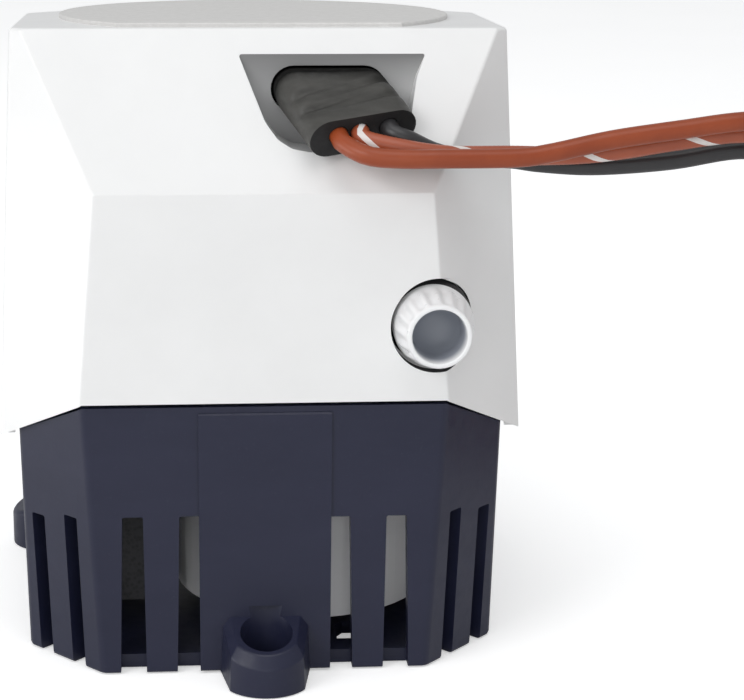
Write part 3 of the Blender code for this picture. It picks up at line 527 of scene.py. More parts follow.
def octagon(hx, hy, corner):
    """The outline |x| <= hx, |y| <= hy, |x| + |y| <= corner."""
    a, b = corner - hy, corner - hx
    return [(a, -hy), (hx, -b), (hx, b), (a, hy), (-a, hy), (-hx, b), (-hx, -b), (-a, -hy)]


def strainer_ring(z, inset=0.0, radius=2.2):
    plan = octagon(S_HX + S_HX_Z * z - inset, S_HY + S_HY_Z * z - inset,
                   S_SUM + S_SUM_Z * z - inset * ROOT2)
    return [(x, y, z) for x, y in rounded(plan, radius, 6)]


def dip_outline(top, side, over):
    """In X and Z, what lies between `over` and a rim that is level in front and falls to each side."""
    low = top - (top - side) / (C_HX - LEVEL_X) * (FAR - LEVEL_X)
    return [(-FAR, low), (-LEVEL_X, top), (LEVEL_X, top), (FAR, low), (FAR, over), (-FAR, over)]


def slot(x, y0, y1, top, half=SLOT_W / 2, turn=0.0, at=(0.0, 0.0), flare=SLOT_FLARE):
    """A slot cutter from y0 to y1, wider and further out at its foot, then turned and moved to `at`."""
    low = x * 1.012
    corners = [(low - half - flare, -1.0), (low + half + flare, -1.0), (x + half, top), (x - half, top)]
    outline = rounded(corners, [0, 0, 0.35, 0.35], 4)
    bm = prism(outline, "Y", y0, y1)
    bmesh.ops.rotate(bm, verts=bm.verts, cent=(0, 0, 0), matrix=Matrix.Rotation(turn, 3, "Z"))
    bmesh.ops.translate(bm, verts=bm.verts, vec=(at[0], at[1], 0))
    return bm


def slot_cutters():
    """Four slots in front, six behind, three on each side and two on each slanted corner."""
    inner_x, inner_y = S_HX - S_WALL, S_HY - S_WALL
    cutters = [slot(x, -FAR, -inner_y, SLOT_TOP + (0.5 if x < 0 else 0.0))
               for x in (-23.0, -13.1, 13.1, 23.0)]
    cutters += [slot(x, inner_y, FAR, SLOT_TOP) for x in (-23.0, -14.0, -5.0, 5.0, 14.0, 23.0)]
    for y in (-25.5, -16.5, 11.0):
        for side in (-1, 1):
            near, far = sorted((side * inner_x, side * FAR))
            cutters.append(slot(0.0, -far, -near, 26.0, turn=radians(90), at=(0.0, y)))
    for sx in (-1, 1):
        for sy in (-1, 1):
            turn = atan2(sy, sx) + pi / 2
            for along, top in ((-3.9, 28.4), (4.7, 26.8)):
                across = Vector((sx, -sy, 0)).normalized()
                middle = Vector((sx * 35.85, sy * 37.65, 0)) + across * along
                cutters.append(slot(0.0, -8.0, S_WALL, top, 1.65, turn, (middle.x, middle.y), 0.0))
    return merged(*cutters)


def floor_openings():
    """Slots in the floor behind the middle and in front of it, the right front one with a slanted corner."""
    half, gap = 1.7, 6.0
    behind = [box((x - half, gap, -1), (x + half, 12 if abs(x) > 30 else 33, 4))
              for x in (-31, -23, -15, -7, 9, 17, 25, 33)]
    ahead = [box((x - half, -33, -1), (x + half, -gap, 4)) for x in (-7, 1, 9)]
    corner = [(13.4, -37.2), (18.8, -37.2), (18.8, -29.2), (15.0, -29.2), (13.4, -31.4)]
    return merged(*behind), merged(*ahead, prism(corner, "Z", -1, 4))


def basket_shell():
    rings = [strainer_ring(0.0, 0.5), strainer_ring(0.15, 0.15), strainer_ring(0.6, 0.0)]
    rings += [strainer_ring(z) for z in (12.0, 30.0, S_TOP)]
    obj = as_object("strainer", loft(rings))
    carve(obj, ("cut", loft([strainer_ring(S_FLOOR, S_WALL, 1.0), strainer_ring(60, S_WALL, 1.0)])))
    rim = dip_outline(S_TOP, S_TOP_SIDE, 70.0)
    behind, ahead = floor_openings()
    tab_windows = merged(box((-FAR, -9, 10), (-39, 5, 36)), box((39, -9, 10), (FAR, 5, 36)))
    return carve(obj, ("cut", merged(prism(rim, "Y", -FAR, -LEVEL_Y), prism(rim, "Y", LEVEL_Y, FAR))),
                 ("cut", box((-FAR, -32, S_TOP_SIDE), (FAR, 32, 70))), ("cut", slot_cutters()),
                 ("cut", behind), ("cut", ahead), ("cut", tab_windows))


def front_foot():
    """The screw foot: sides that draw in to a curved nose, a top that falls forwards, and a broad bevel."""
    half, nose, turn, back = 8.4, 8.05, 54.0, -42.0
    bevel = ((0.0, None), (0.26, 2.0), (0.34, 1.75), (0.48, 1.56), (1.5, 0.22), (1.7, 0.05), (1.95, 0.0))
    rings = []
    for inset, drop in bevel:
        arc = circle(nose - inset, (0.0, -(FOOT_END - nose)), 30, 270.0 - turn, 2 * turn)
        radii = [0, 2.0] + [0] * (len(arc) - 2) + [2.0, 0]
        plan = rounded([(-(half - inset), back)] + arc + [(half - inset, back)], radii)
        rings.append([(x, y, 0.0 if drop is None else FOOT_HIGH - FOOT_FALL * (-y - FOOT_ROOT) - drop)
                      for x, y in plan])
    return loft(rings)


def side_foot(centre):
    rings = []
    for inset, drop in ((0.0, None), (0.0, 0.9), (0.12, 0.45), (0.42, 0.12), (0.9, 0.0)):
        ring = []
        for x, y in circle(SIDE_FOOT_R - inset, centre, 48):
            top = 10.0 - (abs(x) - 42.0) * FOOT_FALL
            ring.append((x, y, 0.0 if drop is None else min(top, 12.0) - drop))
        rings.append(ring)
    return loft(rings)


def side_tower(side, centre):
    """The half-round wall behind a side foot, inside the basket, round the way to its screw."""
    tower = as_object("tower", cylinder(SIDE_FOOT_R, 0.0, 25.0, centre, steps=48))
    carve(tower, ("cut", box((42.0 if side > 0 else -70.0, 10, -5), (70.0 if side > 0 else -42.0, 40, 40))))
    return taken(tower)


def strainer_lip():
    """The ring that goes up inside the cover."""
    rings = [strainer_ring(35, 2.6), strainer_ring(LIP_TOP - 0.4, 2.6), strainer_ring(LIP_TOP, 3.0)]
    lip = as_object("lip", loft(rings))
    return taken(carve(lip, ("cut", loft([strainer_ring(30, 4.6), strainer_ring(60, 4.6)]))))


def front_panel():
    """The raised panel on the front wall, from just over the ground to just under the cover."""
    back, face, edge, top = -43.5, -S_HY - 0.4, 0.25, 47.9
    outline = [(back, 0.3), (face + edge, 0.3), (face, 0.6), (face - S_HY_Z * 47.6, 47.6),
               (face - S_HY_Z * top + edge, top), (back, top)]
    return prism(outline, "X", -11.5, 11.5)


def make_strainer():
    obj = basket_shell()
    carve(obj, ("join", strainer_lip()), ("join", front_panel()), ("join", front_foot()))
    feet = {side: (side * FOOT_AT * cos(radians(30)), FOOT_AT * sin(radians(30))) for side in (-1, 1)}
    for side, centre in feet.items():
        carve(obj, ("join", side_foot(centre)), ("join", side_tower(side, centre)))
    front = (0.0, -FOOT_AT)
    holes = merged(*[cylinder(2.3, -1, 40, c, steps=32) for c in (front, *SIDE_HOLES)])
    bore = lathe([(0, 3.0), (4.4, 3.0), (4.4, 7.6), (5.0, 12.5), (0, 12.5)], front, steps=56)
    pockets = [cylinder(4.6, 3.0, 22, centre, steps=40) for centre in feet.values()]
    carve(obj, ("cut", holes), ("cut", merged(bore, *pockets)))
    soften(obj, 0.28, 1.2)
    return dress(obj, NAVY, "strainer", "navy_plastic", "strainer_basket")


def make_tabs():
    """The two release tabs, each with finger grooves across its outer face."""
    for side, tag in ((-1, "left"), (1, "right")):
        outline = [(side * 40.2, 10.4), (side * 42.65, 10.4), (side * 42.9, 29.0), (side * 44.3, 31.0),
                   (side * 44.3, 33.0), (side * 42.9, 34.6), (side * 40.2, 34.6)]
        obj = as_object("release_tab_grip_" + tag, prism(rounded(outline, 0.5, 4), "Y", -8.6, 4.6))
        low, high = sorted((side * 42.45, side * 46.0))
        grooves = [box((low, -7.4, z), (high, 3.4, z + 0.55)) for z in (14.0, 16.2, 18.4, 20.6, 22.8, 25.0)]
        carve(obj, ("cut", merged(*grooves)))
        soften(obj, 0.2, 0.5)
        dress(obj, NAVY, "tab_" + tag, "navy_plastic", "release_tab_" + tag)


# ---- cover

C_BOTTOM, C_BOTTOM_SIDE, C_TOP = 49.8, 40.9, 111.6
C_HX, C_HY, C_SUM = 46.0, 45.9, 77.4  # half width, half depth and corner limit at the front rim's height
# the wire recess at its wall, and the wider block of plastic that it is cut into, in X and Z
POCKET = [(-3.9, 107.4), (-2.4, 103.6), (0.4, 96.6), (2.5, 93.8), (4.9, 92.4), (8.0, 91.9), (16.1, 91.9),
          (21.4, 91.9), (23.9, 92.8), (25.0, 94.8), (25.3, 98.0), (26.5, 103.6), (28.2, 107.4)]
POCKET_BLOCK = [(-7.0, 112.0), (-4.8, 103.0), (-1.8, 95.4), (0.9, 91.8), (4.2, 90.1), (7.8, 89.6),
                (16.3, 89.6), (21.8, 89.6), (25.7, 90.9), (27.9, 94.2), (28.3, 98.0), (29.3, 103.0),
                (31.1, 112.0)]


def cover_planes(inset=0.0, bottom=C_BOTTOM_SIDE):
    """The cover's outer faces as (normal, limit), each moved in by `inset`."""
    side, front, corner = 0.05, 0.0407, 0.126  # how fast the upright faces draw in as they go up
    foot, brow = Vector((0, -44.45, 85.5)), Vector((0, -28.2, 112.0))  # the slanted face over the front
    slant = (0, foot.z - brow.z, brow.y - foot.y)
    back, shoulder = (0, 18.6, 8.1), 0.986
    planes = [
        ((0, -1, front), C_HY + front * C_BOTTOM), ((0, 1, front), C_HY + front * C_BOTTOM),
        ((1, 0, side), C_HX + side * C_BOTTOM), ((-1, 0, side), C_HX + side * C_BOTTOM),
        (slant, Vector(slant).dot(foot)),
        (back, back[1] * 36 + back[2] * C_TOP),
        ((1, 1, shoulder), 51 + shoulder * C_TOP), ((-1, 1, shoulder), 51 + shoulder * C_TOP),
        ((0, 0, 1), C_TOP),
    ]
    planes += [((sx, sy, corner), C_SUM + corner * C_BOTTOM) for sx in (-1, 1) for sy in (-1, 1)]
    planes = [(n, limit - inset * Vector(n).length) for n, limit in planes]
    return planes + [((0, 0, -1), -bottom)]


def convex(planes):
    """The solid where normal . p <= limit for every (normal, limit)."""
    bm = bmesh.new()
    bmesh.ops.create_cube(bm, size=400.0)
    for normal, limit in planes:
        n = Vector(normal)
        geom = list(bm.verts) + list(bm.edges) + list(bm.faces)
        at = n * (limit / n.length_squared)
        bmesh.ops.bisect_plane(bm, geom=geom, plane_co=at, plane_no=n, clear_outer=True)
        bmesh.ops.holes_fill(bm, edges=[e for e in bm.edges if e.is_boundary], sides=0)
    return bm


def rounded_convex(planes, radius, steps=6):
    """The same solid with every edge and corner rounded: the hull of spheres of that radius."""
    shrunk = [(n, limit - radius * Vector(n).length) for n, limit in planes]
    core = convex(shrunk)
    corners = []
    for v in core.verts:
        if all((v.co - c).length > 0.02 for c in corners):
            corners.append(v.co.copy())
    core.free()
    bm = bmesh.new()
    for c in corners:
        touching = [Vector(n).normalized() for n, limit in shrunk
                    if abs(Vector(n).dot(c) - limit) < 0.02 * Vector(n).length]
        directions = list(touching)
        for i, a in enumerate(touching):
            for b in touching[i + 1:]:
                directions += [a.slerp(b, k / steps) for k in range(1, steps)]
                for d in [t for t in touching if t not in (a, b)]:
                    for u in range(1, steps - 1):
                        for w in range(1, steps - u):
                            directions.append((a * u + b * w + d * (steps - u - w)).normalized())
        for d in directions:
            bm.verts.new(c + d * radius)
    bmesh.ops.remove_doubles(bm, verts=bm.verts, dist=0.004)
    made = bmesh.ops.convex_hull(bm, input=bm.verts)
    inside = made["geom_interior"] + made["geom_unused"]
    loose = list({g for g in inside if isinstance(g, bmesh.types.BMVert)})
    bmesh.ops.delete(bm, geom=loose, context="VERTS")
    bmesh.ops.dissolve_limit(bm, angle_limit=radians(0.15), verts=bm.verts, edges=bm.edges)
    return bm


KNOB_X, KNOB_Z, OUTLET_Z = 28.5, 63.3, 72.0
KNOB_SAG = (0.36, -0.80)  # how far the knob's outer part stands off its axis, in X and Z
KNOB_HOLE, HOLE_DRAW, HOLE_R = (KNOB_X + 0.72, KNOB_Z - 0.66), (0.28, 0.46), 7.9  # drawn out to an oval
PLATE_SCREWS = [(sx * 40.2, sy * 18.0) for sx in (-1, 1) for sy in (-1, 1)]
FLANGE_SCREWS = (-16, 16)
GLAND_AT, GLAND_END = Vector((11.6, -31.0, 101.5)), Vector((16.5, -43.0, 95.4))
GLAND_W, GLAND_H = 9.6, 3.6
GLAND_OUT = Vector((0.3, -0.83, -0.47)).normalized()
GLAND_ACROSS = Vector((0.953, 0.280, 0.114)).normalized()


def stadium(half_width, half_height, steps=8):
    flat = half_width - half_height
    return (circle(half_height, (flat, 0.0), steps, -90.0, 180.0)
            + circle(half_height, (-flat, 0.0), steps, 90.0, 180.0))


def label_outline(radius, front, steps=72):
    edge = degrees(asin(front / radius))
    return circle(radius, (0.0, 0.0), steps, edge, 180.0 - 2 * edge)


def cover_shell():
    """The hollow cover with its dipping rim and the wire recess."""
    obj = as_object("cover", rounded_convex(cover_planes(0.0, 36.0), 0.8))
    inner = as_object("inner", convex(cover_planes(2.2, 30.0)))
    carve(obj, ("cut", taken(carve(inner, ("cut", prism(POCKET_BLOCK, "Y", -FAR, -28.8))))))
    low = dip_outline(C_BOTTOM, C_BOTTOM_SIDE, 20.0)
    carve(obj, ("cut", merged(prism(low, "Y", -FAR, -LEVEL_Y), prism(low, "Y", LEVEL_Y, FAR))),
          ("cut", box((-FAR, -32, 20), (FAR, 32, C_BOTTOM_SIDE))))
    corners = [0.4, 6, 6, 3, 3, 3, 3, 3, 3, 3, 6, 6, 0.3]
    hole = [(GLAND_AT.x + u, GLAND_AT.z + v) for u, v in stadium(9.95, 3.95, 14)]
    return carve(obj, ("cut", prism(rounded(POCKET, corners, 3), "Y", -FAR, -31.0)),
                 ("cut", prism(hole, "Y", -33, -26)))


def make_cover():
    obj = cover_shell()
    guide = as_object("guide", cylinder(9.3, -FAR, -37.2, (KNOB_X, KNOB_Z), "Y", 64))
    carve(guide, ("keep", convex(cover_planes(0.6))))
    bosses = [cylinder(3.6, 58.8, 73, at, steps=24) for at in PLATE_SCREWS]
    bosses += [cylinder(3.4, 34.5, 44.2, (x, OUTLET_Z), "Y", 24) for x in FLANGE_SCREWS]
    pad = lathe([(0, 43.4), (19.5, 43.4), (19.5, 45.5), (19.1, 45.9), (0, 45.9)], (0, OUTLET_Z), "Y", 72)
    bores = [cylinder(1.7, 50, 71.5, at, steps=20) for at in PLATE_SCREWS]
    bores += [cylinder(1.7, 36, 50, (x, OUTLET_Z), "Y", 20) for x in FLANGE_SCREWS]
    bores += [cylinder(12.7, 40, 60, (0, OUTLET_Z), "Y", 64),
              cylinder(7.5, -43.4, -36, (KNOB_X, KNOB_Z), "Y", 80)]
    drawn = (KNOB_HOLE[0] + HOLE_DRAW[0], KNOB_HOLE[1] + HOLE_DRAW[1])
    carve(obj, ("join", taken(guide)), ("join", merged(*bosses)), ("join", pad), ("cut", merged(*bores)),
          ("cut", cylinder(HOLE_R, -FAR, -43.1, KNOB_HOLE, "Y", 96)),
          ("cut", cylinder(HOLE_R, -FAR, -43.2, drawn, "Y", 96)),
          ("cut", prism(label_outline(36.3, -26.6), "Z", C_TOP - 0.5, C_TOP + 5)))
    dress(obj, (WHITE, RECESS_PAINTED_SHADE, DARK_PAINTED_SHADE), "pump", "white_plastic", "cover_shell", angle=28.0)
    for face in obj.data.polygons:
        if face.area > 25 * MM * MM:  # large faces stay flat, so that no shade runs across them
            face.use_smooth = False
    middle = (KNOB_HOLE[0] + HOLE_DRAW[0] / 2, KNOB_HOLE[1] + HOLE_DRAW[1] / 2)
    # the wall of the knob's hole takes the near-black painted shade
    repaint(obj, 2, lambda c, n: c.y < -38.0 and abs(n.y) < 0.5
            and hypot(c.x - middle[0], c.z - middle[1]) < HOLE_R + 0.5)
    # the faces of the recess wall take the grey with its painted shade
    repaint(obj, 1, lambda c, n: -31.3 < c.y < -30.7 and 90.5 < c.z < 108 and -5 < c.x < 30 and n.y < -0.9)
    return obj


def make_label():
    """The round plate in the top: its rim rounded, its face dished up by a hair."""
    rings = []
    for inset, z in ((0.0, C_TOP - 0.2), (0.0, C_TOP + 0.5), (0.12, C_TOP + 0.68), (0.35, C_TOP + 0.78)):
        rings.append([(x, y, z) for x, y in label_outline(36.0 - inset, -26.3 + inset)])
    obj = as_object("round_label", loft(rings))
    return dress(obj, LABEL, "pump", "label_film", "top_label", angle=25.0)


# ---- test knob

def make_knob():
    """A stem with a groove for its seal, and outside the cover a fluted cone with a deep round bore."""
    flutes, deep, flute_y = 16, 0.42, (-51.6, -44.6)
    cone_y, cone_r, end_y, end_r = -44.5, 7.0, -51.2, 5.6
    bore_r, bore_y, bore_deep = 4.4, -46.6, 3.0

    def flute(r, y, a):
        depth = 0.0
        if flute_y[0] < y < flute_y[1] and r > 5.2:
            depth = deep * min(1.0, (flute_y[1] - y) / 1.2) * min(1.0, (y - flute_y[0]) / 1.4)
        return r - depth * (0.5 - 0.5 * cos(flutes * a))

    stem = [(0, -28.5), (2.5, -28.5), (2.5, -38.5), (7.2, -38.5), (7.2, -40.4), (6.2, -40.4), (6.2, -42.4),
            (7.2, -42.4), (cone_r, -43.2), (cone_r, -43.9)]
    cone = [(cone_r + (end_r - cone_r) * k / 14, cone_y + (end_y - cone_y) * k / 14) for k in range(15)]
    lip = [(5.5, -51.6), (5.3, -51.85), (5.0, -51.9), (4.8, -51.9), (4.68, -51.8), (4.62, -51.55),
           (4.6, -51.1), (bore_r, -48.5)]
    cup = [(bore_r * cos(a), bore_y + bore_deep * sin(a))
           for a in (radians(10 * k) for k in range(9))]
    profile = stem + cone + lip + cup + [(0, bore_y + bore_deep)]
    bm = lathe(profile, (KNOB_X, KNOB_Z), "Y", 320, flute)
    for v in bm.verts:
        sag = min(1.0, max(0.0, -43.3 - v.co.y))
        v.co.x += KNOB_SAG[0] * sag
        v.co.z += KNOB_SAG[1] * sag
    obj = as_object("knob", bm)
    dress(obj, (KNOB, BORE_PAINTED_SHADE, DARK_PAINTED_SHADE), "knob", "white_plastic", "test_knob", angle=40.0, weighted=False)
    # the knob's skirt inside the cover's hole takes the near-black painted shade
    repaint(obj, 2, lambda c, n: -44.0 < c.y < -42.5 and hypot(c.x - KNOB_X, c.z - KNOB_Z) > 6.0)
    # the faces inside the bore take the white-to-grey painted shade
    repaint(obj, 1, lambda c, n: -51.6 < c.y < -43.4
            and hypot(c.x - KNOB_X - KNOB_SAG[0], c.z - KNOB_Z - KNOB_SAG[1]) < 4.66)
    return obj


# ---- wire gland

def squared(across, along):
    """Two directions square to `along`, the first as near to `across` as can be."""
    across = (across - along * across.dot(along)).normalized()
    return across, along.cross(across)


def gland_ring(p, across, up, half_width, half_height, dip=lambda u: 0.0):
    """A stadium round p; dip(u) draws its upper side in."""
    out = []
    for u, v in stadium(half_width, half_height, 14):
        top = max(0.0, v / half_height)
        out.append(p + across * u + up * (v - dip(u) * top * top))
    return out


def grooves(t):
    """How deep the two moulded grooves are over the gland's width, t of the way along it."""
    def dip(u):
        wander = 0.016 * sin(0.55 * u + 1.0) + 0.006 * sin(2.3 * u)
        return sum(deep * exp(-((t - at - 0.0085 * u - wander * sway) / 0.046) ** 2)
                   for at, deep, sway in ((0.43, 0.80, 1.0), (0.64, 0.85, -0.8)))
    return dip


def make_gland():
    """Rubber that is flanged inside the cover, then bends forwards and down to the sockets of the wires."""
    x, z, steps = Vector((1, 0, 0)), Vector((0, 0, 1)), 44
    inner = [Vector((GLAND_AT.x, y, GLAND_AT.z)) for y in (-26.0, -28.5, -32.2)]
    rings = [gland_ring(inner[0], x, z, 11.5, 5.6), gland_ring(inner[1], x, z, 11.5, 5.6),
             gland_ring(inner[1], x, z, GLAND_W, GLAND_H)]
    a, b, c, d = inner[2], inner[2] + Vector((0, -3.6, 0)), GLAND_END - GLAND_OUT * 4.5, GLAND_END
    for step in range(steps + 1):
        t, s = step / steps, 1 - step / steps
        p = s**3 * a + 3 * s * s * t * b + 3 * s * t * t * c + t**3 * d
        along = s * s * (b - a) + 2 * s * t * (c - b) + t * t * (d - c)
        across, up = squared(x.lerp(GLAND_ACROSS, t), along.normalized())
        swell = 0.06 * sin(t * 9.0)
        wide, high = GLAND_W + swell - 0.08, GLAND_H + swell * 0.6 - 0.05
        rings.append(gland_ring(p, across, up, wide, high, grooves(t)))
    across, up = squared(GLAND_ACROSS, GLAND_OUT)
    for inset in (0.10, 0.25):
        middle = GLAND_END - GLAND_OUT * (0.02 - inset * 0.05)
        rings.append(gland_ring(middle, across, up, GLAND_W - inset, GLAND_H - inset))
    obj = as_object("gland", loft(rings))
    sockets = []
    for u, v in EXITS.values():
        start = GLAND_END + across * u + up * v
        sockets.append(rod(start - GLAND_OUT * 1.6, start + GLAND_OUT * 2, 1.72, 28))
    carve(obj, ("cut", merged(*sockets)))
    dress(obj, (RUBBER, FACE), "pump", "black_rubber", "wire_gland", angle=38.0, weighted=False)
    repaint(obj, 1, lambda c, n: abs((c - GLAND_END).dot(GLAND_OUT)) < 1.8 and abs(n.dot(GLAND_OUT)) > 0.8)
    return obj


def rod(a, b, radius, steps=20):
    a, b = Vector(a), Vector(b)
    turn = (b - a).to_track_quat("Z", "Y").to_matrix()
    ring = [turn @ Vector((x, y, 0)) for x, y in circle(radius, steps=steps)]
    return loft([[a + p for p in ring], [b + p for p in ring]])


# ---- wires

EXITS = {"brown": (-4.5, 0.4), "stripe": (-0.7, 0.4), "black": (4.5, 0.5)}  # across and up the gland's end


def wire_exit(across, up, out):
    a, b = squared(GLAND_ACROSS, GLAND_OUT)
    return GLAND_END + a * across + b * up + GLAND_OUT * out


ROUTES = {  # listed, after the first 2 mm, which run straight out of the gland
    "brown": [
        (16.6, -49.5, 92.6), (22, -50.5, 92.2), (29.2, -50.6, 92.2), (41, -50, 92.2), (47, -49.5, 92.9),
        (57, -48.9, 94.9), (68.5, -48.7, 96.5), (79, -48.5, 97.8), (90, -48.1, 97.9), (100, -47.5, 94.4),
        (108.5, -46.7, 86.4), (114.5, -45.7, 73), (118.3, -44.5, 56), (121, -42.8, 39), (123.6, -39.8, 24.5),
        (126.2, -35.2, 15.2), (127.9, -29, 10.9), (128.2, -22, 9.5)],
    "stripe": [
        (22.5, -47, 93.4), (30, -47, 92.3), (40.9, -46.4, 92.1), (46.9, -45.8, 91.9), (54.1, -45.4, 92.1),
        (61, -45.3, 92.9), (68.1, -45.2, 94), (79.3, -45, 95.3), (89.5, -44.6, 94.4), (98.6, -44.1, 90.9),
        (106, -43.4, 83.2), (111.2, -42.4, 70.8), (114.8, -41.2, 55), (117.6, -39.3, 38),
        (120.6, -36.3, 22.5), (123.8, -32, 11.4), (126.6, -27.4, 6.9), (128.2, -22, 5.6)],
    "black": [
        (24, -44.1, 94.4), (28, -43.1, 92.4), (31.9, -43.4, 91.4), (36.1, -43.1, 91.2), (41.6, -42.7, 90.9),
        (46.8, -42.2, 90.1), (56.2, -41.7, 89.5), (68.9, -41.6, 90.3), (80.5, -41.3, 92), (89, -41, 91),
        (97, -40.6, 87.2), (103.6, -40, 79.6), (108, -39.1, 68.4), (111.4, -38, 53.4), (114.2, -36.2, 36.6),
        (117.2, -33.4, 19.6), (120.8, -29.4, 7.6), (124.6, -25.4, 2.7), (128.2, -22, 1.75)],
}
COIL, COIL_R, COIL_HALF, WIRE_R = (165.0, -15.0), 30.0, 5.0, 1.6
ENTRY_TURN, TURN_STEP = 190.8, 3.4
STRIPE_TWIST, STRIPE_START = 0.345, -0.877  # radians per mm, and radians at the gland
# each lead's height coming in, round the coil and going out, and the degrees that its tail follows it
LEVELS = {"brown": (9.5, 8.8, 9.05, 120), "stripe": (5.6, 5.55, 5.4, 60), "black": (1.75, 2.3, 1.75, 0)}


def ease(x):
    """0 up to x = 0 and 1 from x = 1, with a smooth step between."""
    x = min(1.0, max(0.0, x))
    return x * x * (3 - 2 * x)


def coil_points(first, level, last):
    """Three turns clockwise, each a diameter inside the one before, from the coil's left side."""
    points = []
    for i in range(1, 109):
        a = 10.0 * i
        r = COIL_R + TURN_STEP + 4.1 * (1 - ease(a / 80))
        r -= TURN_STEP * sum(ease((a - start) / 34) for start in (328, 688, 1046))
        z = level + (first - level) * (1 - ease(a / 60)) + (last - level) * ease((a - 1030) / 60)
        turn = radians(ENTRY_TURN - a)
        points.append((COIL[0] + r * cos(turn), COIL[1] + r * sin(turn), z))
    return points


def tail_points(level, hold):
    """From the last turn, hold degrees along the coil's inner side, then in towards its middle and down."""
    points = []
    for i in range(1, 13):
        a = (hold + 100) * i / 12
        inward = max(0.0, a - hold) / 100
        fall = (a - max(0.0, hold - 45)) / (45.0 if hold else 20.0)
        r, turn = COIL_R - COIL_HALF - 1.9 - 11.0 * inward**1.2, radians(178 - a)
        z = level + (1.65 - level) * ease(fall)
        points.append((COIL[0] + r * cos(turn), COIL[1] + r * sin(turn), z))
    return points


def smooth_path(points, spacing):
    """Points evenly along a Catmull-Rom curve through the given ones."""
    pts = [Vector(p) for p in points]
    pts = [2 * pts[0] - pts[1]] + pts + [2 * pts[-1] - pts[-2]]
    dense = []
    for a, b, c, d in zip(pts, pts[1:], pts[2:], pts[3:]):
        for i in range(16):
            t = i / 16
            dense.append(0.5 * (2 * b + (c - a) * t + (2 * a - 5 * b + 4 * c - d) * t**2
                                + (3 * b - a - 3 * c + d) * t**3))
    dense.append(pts[-2])
    lengths = [0.0]
    for a, b in zip(dense, dense[1:]):
        lengths.append(lengths[-1] + (b - a).length)
    count = max(2, round(lengths[-1] / spacing))
    out, k = [], 0
    for i in range(count + 1):
        want = lengths[-1] * i / count
        while k < len(lengths) - 2 and lengths[k + 1] < want:
            k += 1
        part = (want - lengths[k]) / max(1e-9, lengths[k + 1] - lengths[k])
        out.append(dense[k].lerp(dense[k + 1], min(1.0, part)))
    return out


def tube_mesh(path, radius, sides=22, twist=0.0, start=0.0, stripe=()):
    """A round tube along path, turning by twist per mm; the sides in stripe get the second material."""
    bm = bmesh.new()
    steps = [(b - a).normalized() for a, b in zip(path, path[1:])]
    tangents = [steps[0]] + [(a + b).normalized() for a, b in zip(steps, steps[1:])] + [steps[-1]]
    side = (Vector((0, 0, 1)) - tangents[0] * tangents[0].z).normalized()
    rows, along = [], 0.0
    for i, (p, t) in enumerate(zip(path, tangents)):
        if i:
            side = tangents[i - 1].rotation_difference(t) @ side
            along += (p - path[i - 1]).length
        side = (side - t * side.dot(t)).normalized()
        other = t.cross(side)
        base = start + twist * along
        rows.append([bm.verts.new(p + radius * (side * cos(a) + other * sin(a)))
                     for a in (base + 2 * pi * k / sides for k in range(sides))])
    for low, high in zip(rows, rows[1:]):
        for k in range(sides):
            j = (k + 1) % sides
            face = bm.faces.new((low[k], low[j], high[j], high[k]))
            face.material_index = 1 if k in stripe else 0
    bm.faces.new(rows[0][::-1])
    bm.faces.new(rows[-1])
    return bm


def tip_mesh(a, direction, length, radius):
    """Seven tinned strands laid together with a slow twist, their end cut square."""
    other = direction.orthogonal().normalized()
    third = direction.cross(other)
    strands = [(0.0, 0.0)] + circle(0.655 * radius, steps=6)
    parts = []
    for u, v in strands:
        rings = []
        for i in range(13):
            along, turn = length * i / 12, 0.9 * i / 12
            c, s = cos(turn), sin(turn)
            mid = a + direction * along + other * (u * c - v * s) + third * (u * s + v * c)
            rings.append([mid + (other * cos(w) + third * sin(w)) * radius * 0.335
                          for w in (2 * pi * k / 10 for k in range(10))])
        parts.append(loft(rings))
    return merged(*parts)


def make_wires(strap):
    """The three leads with their bare tips; strap is not used."""
    coats = {"brown": ("brown_insulation", (BROWN,)), "stripe": ("striped_insulation", (STRIPED, STRIPE)),
             "black": ("black_insulation", (BLACK,))}
    for name, route in ROUTES.items():
        first, level, last, hold = LEVELS[name]
        begin = [wire_exit(*EXITS[name], out) for out in (-1.4, 0.4, 2.2)]
        whole = begin + route + coil_points(first, level, last) + tail_points(last, hold)
        path = smooth_path(whole, 1.6)
        if name == "stripe":
            mesh = tube_mesh(smooth_path(whole, 0.8), WIRE_R, 28, STRIPE_TWIST, STRIPE_START, (0, 1, 2))
        else:
            mesh = tube_mesh(path, WIRE_R, 28)
        obj = as_object("lead_" + name, mesh)
        slot_name, mats = coats[name]
        solids = ["wire_" + name, "wire_end_" + name] + (["wire_coil"] if name == "brown" else [])
        dress(obj, mats, "pump", slot_name, *solids, angle=60.0, weighted=False)
        d = (path[-1] - path[-2]).normalized()
        tip = as_object("lead_tip_" + name, tip_mesh(path[-1] - d * 0.5, d, 8.5, 1.0))
        dress(tip, COPPER, "pump", "tinned_copper", "bare_tip_" + name, angle=50.0, weighted=False)


